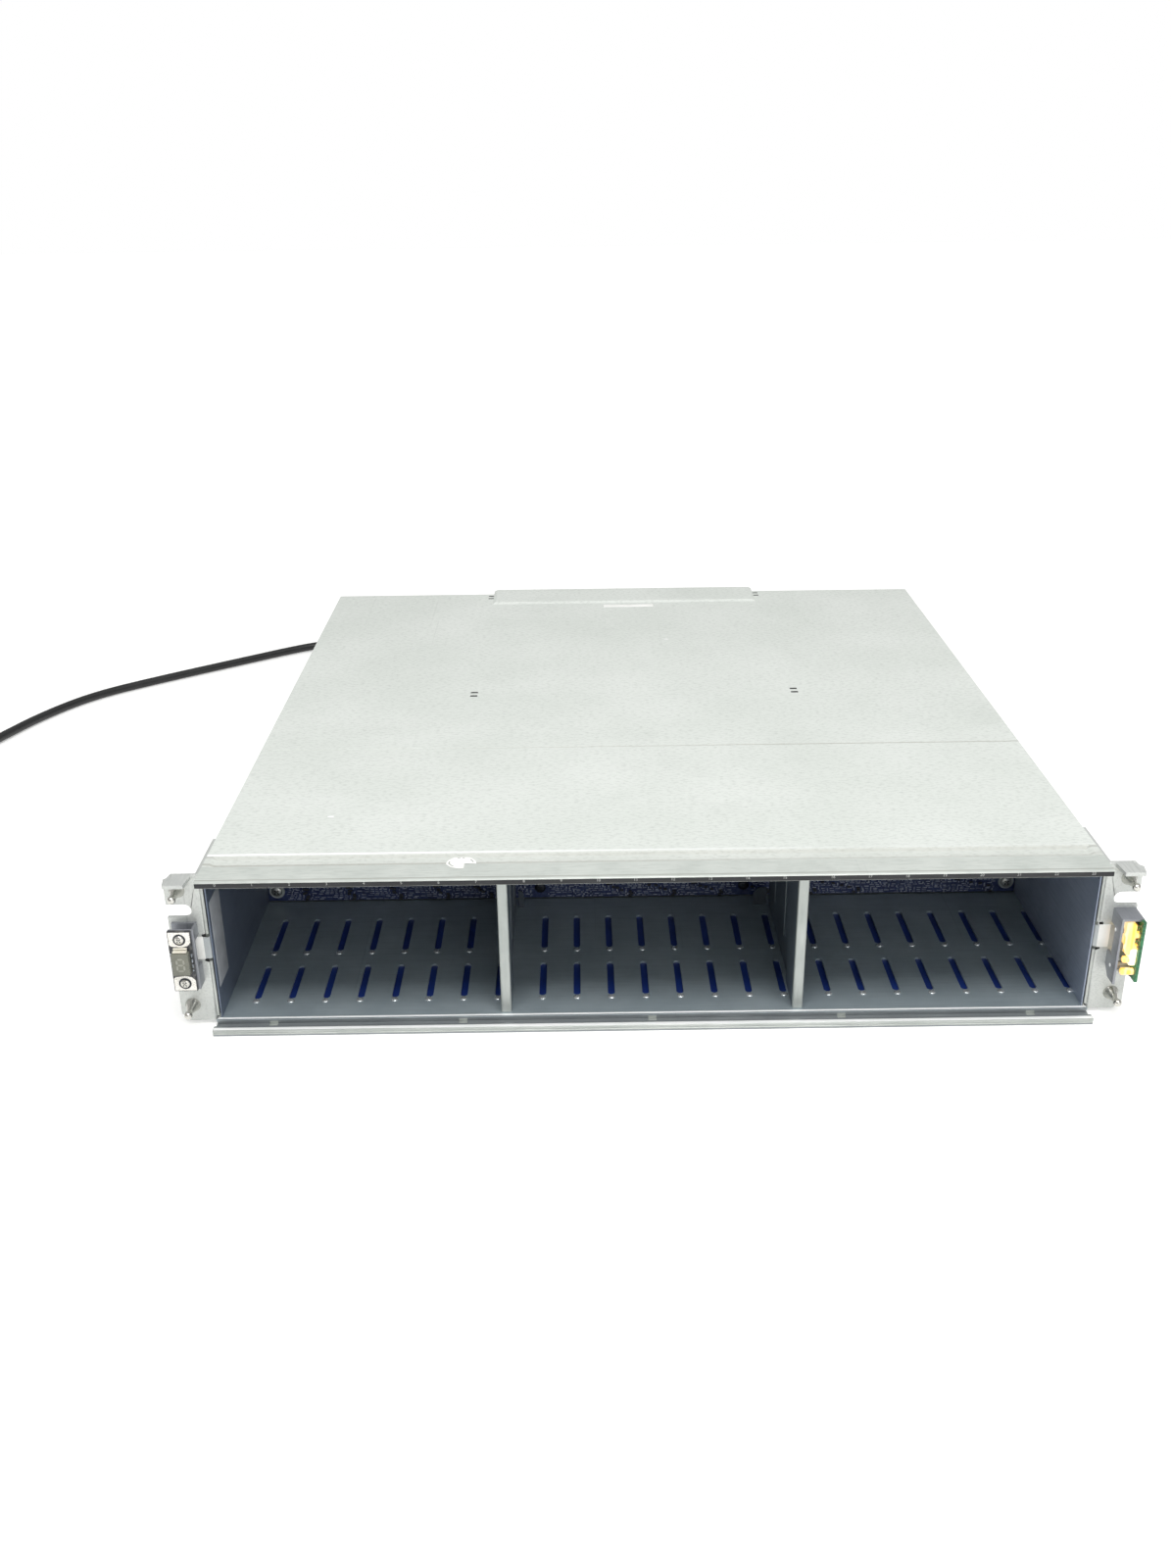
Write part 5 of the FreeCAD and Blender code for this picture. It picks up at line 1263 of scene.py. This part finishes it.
    def screws(self) -> None:
        """Seat the screws of both ear boards, with lock washers under those of the display."""
        heads = Mould("ear_board_screw_heads", NICKEL, Slot.SCREW)
        crosses = Mould("ear_board_screw_crosses", PAINTED_RECESS_SHADE, Slot.SCREW)
        washers = Mould("display_lock_washers", BLACK_OXIDE, Slot.SCREW)
        x, back, _ = self.display
        for z in self.display_screw_zs:
            screw(heads, crosses, (x, back + SUNK, z), FRONT, *self.screw_size)
            washers.turned([(2.3, 0.0), (3.1, 0.0), (3.1, 0.35), (2.3, 0.45)], (x, back + 0.01, z), FRONT, 32)
        for z in self.status_screw_zs:
            screw(heads, crosses, (self.status_x + 1.58, self.status_screw_y, z), (1, 0, 0), *self.screw_size)
        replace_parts(heads.settle(), "ear_board_screws")
        settle_all(crosses, washers)

    def parts(self) -> None:
        """Set the cable plug, a small plug and two chips on the status board, and the ends of its posts,
        white as painted highlights.
        """
        ivory = Mould("ear_cable_plug", IVORY_NYLON, Slot.RIBBON)
        chips = Mould("ear_board_chips", CHIP_EPOXY, Slot.GREEN_BOARD)
        ends = Mould("bracket_post_end_highlights", HIGHLIGHT_AND_SCUFF_WHITE, Slot.SCREW)
        face, post = self.status_x, box_of("status_bracket").low[0] + SUNK
        ivory.block((face - 4.6, -9.0, 39.5), (face, -4.6, 50.5), 0.3)
        ivory.block((face - 5.2, -12.0, 28.2), (face - SUNK, -7.2, 31.6), 0.3)
        for z in self.chip_zs:
            chips.block((face - 1.0, -13.0, z - 0.9), (face, -10.4, z + 0.9), 0.15)
        for z in self.status_screw_zs:
            ends.turned(domed(1.0, 0.35), (post, self.status_screw_y, z), (-1, 0, 0), 20)
        settle_all(ends, ivory, chips)


class RearModule:
    """What both kinds of rear module share: their names and the small parts on their panels."""

    name: str
    rear = PAN.high[1]

    def dress(self, finish: Finish, *parts: str, edge_mm: float = 0.0) -> None:
        """Give nodes of this module a finish, by the ends of their names."""
        dress(finish, *(f"{self.name}_{part}" for part in parts), edge_mm=edge_mm)

    def mould(self, part: str, finish: Finish, slot: Slot) -> Mould:
        """Return an empty mould for a part that rides on this module."""
        return Mould(f"{self.name}_{part}", finish, slot, f"{self.name}_module")

    def fit_panel(self, screws: Sequence[Pair], screw_size: Pair, lamps: Sequence[Pair], lamp_size: Pair,
                  lamp_steps: int, label: tuple[Pair, Pair]) -> None:
        """Add screws, lamps and a blank label to the panel, each by its place in X and Z.

        Args:
            screws: Middles of the screws.
            screw_size: Radius and height of their heads.
            lamps: Middles of the lamps.
            lamp_size: Radius and height of their lenses.
            lamp_steps: Points round a lens.
            label: Lowest and highest corners of the label.
        """
        heads = self.mould("screw_heads", NICKEL, Slot.SCREW)
        crosses = self.mould("screw_crosses", PAINTED_RECESS_SHADE, Slot.SCREW)
        lenses = self.mould("lamps", GREEN_LENS, Slot.LIGHT)
        paper = self.mould("blank_label", PAPER, Slot.RIBBON)
        seat = self.rear - SUNK
        for x, z in screws:
            screw(heads, crosses, (x, seat, z), REAR, *screw_size)
        for x, z in lamps:
            lenses.turned(domed(*lamp_size), (x, seat, z), REAR, lamp_steps)
        (left, low), (right, high) = label
        paper.block((left, seat, low), (right, self.rear + 0.08, high), 0.02)
        settle_all(heads, crosses, lenses, paper)


@dataclass
class PowerModule(RearModule):
    """A power module: case, panel, power entry, rocker, fan and lever."""

    side: Side
    fan_offset: float = 74.0
    fan_z: float = 36.6
    fan_front: float = 440.8
    fan_rear: float = 465.8
    fan_screw: float = 25.0
    hub_radius: float = 13.0
    tip_radius: float = 27.3
    blades: int = 7
    blade_steps: int = 6
    blade_thick: float = 1.2
    lamp_offsets: Pair = (104.5, 109.5)
    lamp_z: float = 10.0
    label_offsets: Pair = (98.5, 111.5)
    label_zs: Pair = (76.0, 82.0)

    @property
    def name(self) -> str:
        """Start of the names of the module's nodes and bodies."""
        return f"{self.side.word}_power"

    @property
    def left(self) -> float:
        """Left face of the module in millimetres."""
        return box_of(f"{self.name}_case").low[0]

    def build(self) -> None:
        """Dress the module and add its rotor, screws, lamps and blank label."""
        self.dress(MODULE_ZINC, "case", "panel", edge_mm=0.2)
        self.dress(BLACK_ABS, "entry", "rocker", edge_mm=0.2)
        self.dress(FAN_NYLON, "fan_frame", edge_mm=0.3)
        self.dress(LEVER_ABS, "lever", edge_mm=0.5)
        self.rotor()
        corners = product((-self.fan_screw, self.fan_screw), repeat=2)
        label = tuple((self.left + x, z) for x, z in zip(self.label_offsets, self.label_zs))
        self.fit_panel([(self.left + self.fan_offset + x, self.fan_z + z) for x, z in corners], (2.6, 1.4),
                       [(self.left + x, self.lamp_z) for x in self.lamp_offsets], (1.5, 0.9), 20, label)

    def rotor(self) -> None:
        """Shape the fan's rotor: a capped hub and swept, twisted blades."""
        rotor = Mould(f"{self.name}_swept_rotor", FAN_NYLON, Slot.PLASTIC, f"{self.name}_fan")
        hub, deep = self.hub_radius, self.fan_rear - self.fan_front - 6.4
        base = (self.left + self.fan_offset, self.fan_front + 5.2, self.fan_z)
        rotor.turned([(1.5, -3.5), (1.5, -0.02), (hub - 0.8, 0.0), (hub, 0.8), (hub, deep - 2.4),
                      (hub - 0.7, deep - 0.7), (hub - 2.4, deep), (0.0, deep)], base, REAR, 40)
        for lead in angles(self.blades):
            self.blade(rotor, base, lead, deep - 5.2)
        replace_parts(rotor.settle(), f"{self.name}_fan_rotor")

    def blade(self, rotor: Mould, base: Point, lead: float, deep: float) -> None:
        """Add one blade as rings round its section, from the hub to the tip.

        Args:
            rotor: Mould that takes the blade.
            base: Front of the hub in millimetres.
            lead: Angle of the blade's leading edge.
            deep: Depth of the blade.
        """
        chords = [j / self.blade_steps for j in range(self.blade_steps + 1)]
        section = [(c, 0.0) for c in chords] + [(c, self.blade_thick) for c in reversed(chords)]
        root, rings = self.hub_radius - 0.5, []
        for out in chords:
            radius, ring = root + (self.tip_radius - root) * out, []
            for chord, shift in section:
                turn = lead + (0.62 - 0.16 * out) * chord + 0.22 * out ** 2
                y = base[1] + 1.2 + shift + deep * chord ** 0.85
                ring.append(rotor.corner((base[0] + radius * math.cos(turn), y,
                                          base[2] + radius * math.sin(turn))))
            rings.append(ring)
        rotor.skin(rings, caps=False)
        for end, j in product((rings[0], rings[-1]), range(self.blade_steps)):
            rotor.mesh.faces.new((end[j], end[j + 1], end[-2 - j], end[-1 - j]))


@dataclass
class ControlModule(RearModule):
    """A controller module: case, panel, board, ports and two levers."""

    level: Level
    port_rise: float = 22.5
    cable_xs: Pair = (-72.5, -40.5)
    network_x: float = 67.5
    lamp_offsets: Pair = (12.5, 17.5)
    screw_xs: Pair = (-95.0, 95.0)
    screw_rise: float = 35.5
    label_half: float = 18.0
    label_rises: Pair = (33.0, 38.0)

    @property
    def name(self) -> str:
        """Start of the names of the module's nodes and bodies."""
        return f"{self.level.word}_control"

    def build(self) -> None:
        """Dress the module and add contacts, lamps, screws and a blank label."""
        self.dress(MODULE_ZINC, "case", "panel", edge_mm=0.2)
        self.dress(GREEN_BOARD, "board")
        self.dress(PORT_NICKEL, "ports", edge_mm=0.15)
        self.dress(LEVER_ABS, "left_lever", "right_lever", edge_mm=0.5)
        self.contacts()
        low, port = self.level.value, self.level.value + self.port_rise
        self.fit_panel([(x, low + self.screw_rise) for x in self.screw_xs], (2.4, 1.3),
                       [(self.network_x + x, port + 4.0) for x in self.lamp_offsets], (1.2, 0.7), 18,
                       tuple((x, low + rise) for x, rise in
                             zip((-self.label_half, self.label_half), self.label_rises)))

    def contacts(self) -> None:
        """Set a contact tongue in each cable port and spring contacts in the network port."""
        tongues = self.mould("port_tongues", CHIP_EPOXY, Slot.PLASTIC)
        gold = self.mould("port_contacts", GOLD, Slot.PORT)
        rear, z = self.rear, self.level.value + self.port_rise
        for x in self.cable_xs:
            tongues.block((x - 7.0, rear - 15.0, z - 0.9), (x + 7.0, rear - 2.5, z + 0.9), 0.2)
            for pin in (x - 5.9 + i * 1.07 for i in range(12)):
                gold.block((pin - 0.3, rear - 9.0, z + 0.86), (pin + 0.3, rear - 2.9, z + 0.98), 0.02)
        for pin in (self.network_x - 3.9 + i * 1.115 for i in range(8)):
            gold.block((pin - 0.25, rear - 12.0, z + 2.6), (pin + 0.25, rear - 5.0, z + 3.0), 0.05)
        settle_all(tongues, gold)


@dataclass
class MainsCord:
    """Mains cord: a moulded connector, the free run, a put-away coil with its strap, and a plug."""

    radius: float = 3.25
    length: float = 1.66
    coil_x: float = -533.0
    coil_y: float = 363.5
    coil_inner: float = 29.3
    coil_outer: float = 45.0
    coil_low: float = 4.1
    coil_turn_deg: Pair = (-14, -1800)
    coil_climb_deg: float = 80
    layer: float = 6.7
    points_in_turn: int = 18
    plug_x: float = -488.2
    plug_z: float = 12.4
    plug_back: float = 290.0
    plug_deep: float = 38.0
    blade_apart: float = 6.35
    strap_turn_deg: float = 150
    strap_half: float = 5.0
    strap_thick: float = 0.5
    body: str = "left_power_module"
    route: tuple[Point, ...] = (
        (-197.7, 522.0, 23.1), (-197.7, 549.0, 23.1), (-210.5, 577.8, 14.0), (-231.8, 594.4, 7.0),
        (-258.5, 598.2, 4.2), (-282.8, 589.0, 3.6), (-323.3, 559.6, 3.5), (-391.6, 509.0, 3.5),
        (-434.5, 473.0, 3.5), (-461.3, 427.3, 3.6), (-476.8, 385.0, 3.9))

    def coil_points(self) -> list[Point]:
        """Wind the coil: inwards on the floor, up at the inside, and outwards on top.

        Returns:
            Points of the turns in millimetres, clockwise seen from above.
        """
        start, end = [math.radians(turn) for turn in self.coil_turn_deg]
        climb = math.radians(self.coil_climb_deg)
        spiral = (start - end - climb) / 2
        count = round((start - end) / (2 * math.pi) * self.points_in_turn)
        points = []
        for gone in ((start - end) * i / count for i in range(count + 1)):
            if gone < spiral:
                inward, rise = gone / spiral, 0.0
            elif gone < spiral + climb:
                inward, rise = 1.0, (gone - spiral) / climb
            else:
                inward, rise = 1 - (gone - spiral - climb) / spiral, 1.0
            turn, radius = start - gone, self.coil_outer + (self.coil_inner - self.coil_outer) * inward
            points.append((self.coil_x + radius * math.cos(turn), self.coil_y + radius * math.sin(turn),
                           self.coil_low + self.layer * rise))
        return points

    def build(self) -> None:
        mates = [self.connector(), self.plug(), self.pins(), self.strap()]
        tail = [(self.plug_x + 0.1, self.coil_y - 18.0, 11.2), (self.plug_x, self.coil_y - 38.0, self.plug_z),
                (self.plug_x, self.plug_back + 17.0, self.plug_z)]
        points = [*self.route, *self.coil_points(), *tail]
        curve = bpy.data.curves.new("mains_cord", "CURVE")
        curve.dimensions = "3D"
        curve.bevel_depth = self.radius * MM
        curve.bevel_resolution = 5
        curve.resolution_u = 8
        spline = curve.splines.new("NURBS")
        spline.points.add(len(points) - 1)
        for held, (x, y, z) in zip(spline.points, points):
            held.co = (x * MM, y * MM, z * MM, 1.0)
        spline.order_u = 3
        spline.use_endpoint_u = True
        curve.materials.append(CORD_VINYL.material())
        piece = bpy.data.objects.new("mains_cord", curve)
        bpy.context.scene.collection.objects.link(piece)
        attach(piece, self.body)
        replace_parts(piece, "power_cord", "power_cord_coil")
        LOG.info("piece mains_cord: %s on %s", CORD_VINYL.name, self.body)

    def moulding(self, name: str, x: float, z: float, plan: Sequence[tuple[float, ...]]) -> Piece:
        """Mould a vinyl form along Y.

        Args:
            name: The piece's name.
            x: Middle of the form.
            z: Height of its middle.
            plan: Y, half width, half height and squareness of each section.

        Returns:
            The new piece.
        """
        form = Mould(name, CORD_VINYL, Slot.RUBBER, self.body, 50)
        form.skin([[form.corner((x + across, y, z + rise)) for across, rise in rounded(*shape)]
                   for y, *shape in plan])
        return form.settle()

    def ribbed(self, start: float, long: float, count: int, root: float) -> list[tuple[float, ...]]:
        """Return the sections of a tapered strain relief with a groove in every third."""
        radii = [root + (4.0 - root) * i / (count - 1) - (0.7 if i % 3 == 1 and i < count - 2 else 0.0)
                 for i in range(count)]
        return [(start + long * i / (count - 1), radius, radius, 2) for i, radius in enumerate(radii)]

    def connector(self) -> Piece:
        """Mould the connector in the inlet with its ribbed strain relief, and return it."""
        x, _, z = self.route[0]
        piece = self.moulding("moulded_connector", x, z, [
            (455.0, 11.6, 7.6, 5), (469.2, 11.6, 7.6, 5), (469.3, 12.6, 9.2, 5), (470.4, 13.5, 10.0, 5),
            (480.0, 13.5, 10.0, 5), (484.0, 12.7, 9.6, 4.5), (489.0, 12.2, 9.2, 4), (492.0, 9.8, 8.0, 3),
            (493.0, 7.4, 6.8, 2.4), *self.ribbed(493.6, 29.4, 16, 6.2)])
        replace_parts(piece, "cord_connector")
        return piece

    def plug(self) -> Piece:
        """Mould the plug's body with its ribbed neck, and return it."""
        back = self.plug_back
        piece = self.moulding("moulded_plug", self.plug_x, self.plug_z, [
            (back - self.plug_deep, 12.6, 11.2, 5), (back - 37.2, 13.4, 11.9, 5),
            (back - 22.0, 13.4, 11.9, 4.5), (back - 14.0, 11.6, 10.6, 4), (back - 5.0, 11.0, 9.8, 3.2),
            (back - 1.0, 8.6, 8.0, 2.6), (back, 6.6, 6.4, 2.2), *self.ribbed(back + 0.8, 17.2, 13, 6.1)])
        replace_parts(piece, "cord_plug")
        return piece

    def pins(self) -> Piece:
        """Set the plug's two blades and round ground pin, and return them."""
        shape = Mould("plug_pins", NICKEL, Slot.SCREW, self.body)
        face, x, z = self.plug_back - self.plug_deep, self.plug_x, self.plug_z
        for middle in (x - self.blade_apart, x + self.blade_apart):
            shape.block((middle - 0.75, face - 17.0, z + 0.1), (middle + 0.75, face + 0.4, z + 6.3), 0.3)
        shape.turned([(2.4, -0.4), (2.4, 14.6), (2.0, 16.2), (1.2, 17.0), (0.0, 17.2)],
                     (x, face, z - self.blade_apart), FRONT)
        return shape.settle()

    def strap(self) -> Piece:
        """Wrap the strap round the coil's turns, and return it."""
        shape = Mould("coil_strap", TIE_CLOTH, Slot.RUBBER, self.body, 50)
        c, s = [way(math.radians(self.strap_turn_deg)) for way in (math.cos, math.sin)]
        inner, outer = self.coil_inner - self.radius - 0.6, self.coil_outer + self.radius + 0.6
        low, high = 0.1, self.coil_low + self.layer + self.radius + 0.5
        middle, half = Vector(((inner + outer) / 2, (low + high) / 2)), self.strap_half
        rings = []
        for offset in map(Vector, rounded((outer - inner) / 2, (high - low) / 2, 5)):
            ring = []
            for along, depth in ((-half, 0.0), (half, 0.0), (half, self.strap_thick),
                                 (-half, self.strap_thick)):
                out, z = middle + offset - offset.normalized() * depth
                x, y = self.coil_x + c * out - s * along, self.coil_y + s * out + c * along
                ring.append(shape.corner((x, y, z)))
            rings.append(ring)
        shape.skin([*rings, rings[0]], caps=False)
        return shape.settle()


@dataclass
class Studio:
    """Pale floor, soft light and the camera at the photograph's angle."""

    eye_mm: Point = (-34.5, -620.6, 410.3)
    turn_deg: Point = (65.7944, 0.6424, -0.4445)
    lens_mm: float = 32.639
    sensor_mm: float = 36.0

    def build(self) -> None:
        """Set up floor, world, lamps and camera."""
        bpy.context.scene.view_settings.view_transform = "Standard"
        self.floor()
        self.world()
        self.lamp("softbox_above", (0.05, -0.5, 1.45), (0.0, 0.08, 0.0), (1.3, 0.45), 17.0)
        self.lamp("softbox_rear", (0.0, 0.95, 1.5), (0.0, 0.35, 0.08), (1.2, 0.7), 1.6)
        self.lamp("softbox_front", (0.75, -1.6, 0.8), (0.0, 0.1, 0.05), (1.4, 1.0), 7.0)
        self.camera()

    def floor(self) -> None:
        """Lay a pale matt floor that looks white to the camera and keeps the shadow."""
        shape = bmesh.new()
        bmesh.ops.create_grid(shape, x_segments=8, y_segments=8, size=6.0)
        mesh = bpy.data.meshes.new("pale_floor")
        shape.to_mesh(mesh)
        shape.free()
        piece = bpy.data.objects.new("pale_floor", mesh)
        bpy.context.scene.collection.objects.link(piece)
        paint = bpy.data.materials.new("matt_white_table")
        paint.use_nodes = True
        tree = paint.node_tree
        shader = tree.nodes["Principled BSDF"]
        shader.inputs["Base Color"].default_value = linear("#F2F2F0")
        shader.inputs["Roughness"].default_value = 0.7
        path = add_node(tree, "LightPath", {}).outputs
        seen = worked("ADD", path["Is Camera Ray"], path["Is Glossy Ray"])
        clear = worked("ADD", seen, path["Is Transmission Ray"])
        where = add_node(tree, "TexCoord", {}).outputs["Object"]
        reach = add_node(tree, "VectorMath", {"operation": "DISTANCE", 1: (0.0, 0.2, 0.0)}, {0: where})
        lift = worked("MULTIPLY", clear, ranged(reach.outputs["Value"], 0.3, 1.0, 0.5, 1.3))
        shader.inputs["Emission Color"].default_value = (1.0, 1.0, 1.0, 1.0)
        tree.links.new(lift, shader.inputs["Emission Strength"])
        mesh.materials.append(paint)

    def world(self) -> None:
        """Make the surroundings white to the camera and softly bright as light."""
        world = bpy.data.worlds.new("white_room")
        bpy.context.scene.world = world
        world.use_nodes = True
        tree = world.node_tree
        path = add_node(tree, "LightPath", {}).outputs
        level = ranged(worked("ADD", path["Is Camera Ray"], path["Is Transmission Ray"]), 0.5, 1.0)
        sky = tree.nodes["Background"]
        sky.inputs["Color"].default_value = (1.0, 1.0, 1.0, 1.0)
        tree.links.new(level, sky.inputs["Strength"])

    def lamp(self, name: str, place: Point, aim: Point, size: Pair, watts: float) -> None:
        """Hang a soft lamp.

        Args:
            name: The lamp's name.
            place: Where it hangs, in metres.
            aim: Point that it faces, in metres.
            size: Width and height of its face.
            watts: Its power.
        """
        light = bpy.data.lights.new(name, "AREA")
        light.shape = "RECTANGLE"
        light.size, light.size_y = size
        light.energy = watts
        holder = bpy.data.objects.new(name, light)
        holder.location = place
        holder.rotation_euler = (Vector(aim) - Vector(place)).to_track_quat("-Z", "Y").to_euler()
        bpy.context.scene.collection.objects.link(holder)

    def camera(self) -> None:
        """Stand the camera where the photograph was taken from."""
        lens = bpy.data.cameras.new("camera")
        lens.lens = self.lens_mm
        lens.sensor_width = self.sensor_mm
        lens.sensor_fit = "AUTO"
        lens.clip_start = 0.01
        lens.clip_end = 50.0
        holder = bpy.data.objects.new("camera", lens)
        holder.location = Vector(self.eye_mm) * MM
        holder.rotation_euler = tuple(math.radians(a) for a in self.turn_deg)
        bpy.context.scene.collection.objects.link(holder)
        bpy.context.scene.camera = holder


def main() -> None:
    """Build every sub-assembly in order and report each piece."""
    logging.basicConfig(level=logging.INFO, format="%(name)s: %(message)s")
    parts = [Studio(), MainsCord(), ChassisShell(), DriveCage(), Midplane(), RackEars(), EarBoards()]
    for part in parts + [PowerModule(side) for side in Side] + [ControlModule(level) for level in Level]:
        part.build()
    bpy.context.view_layer.update()


if __name__ == "__main__":
    main()
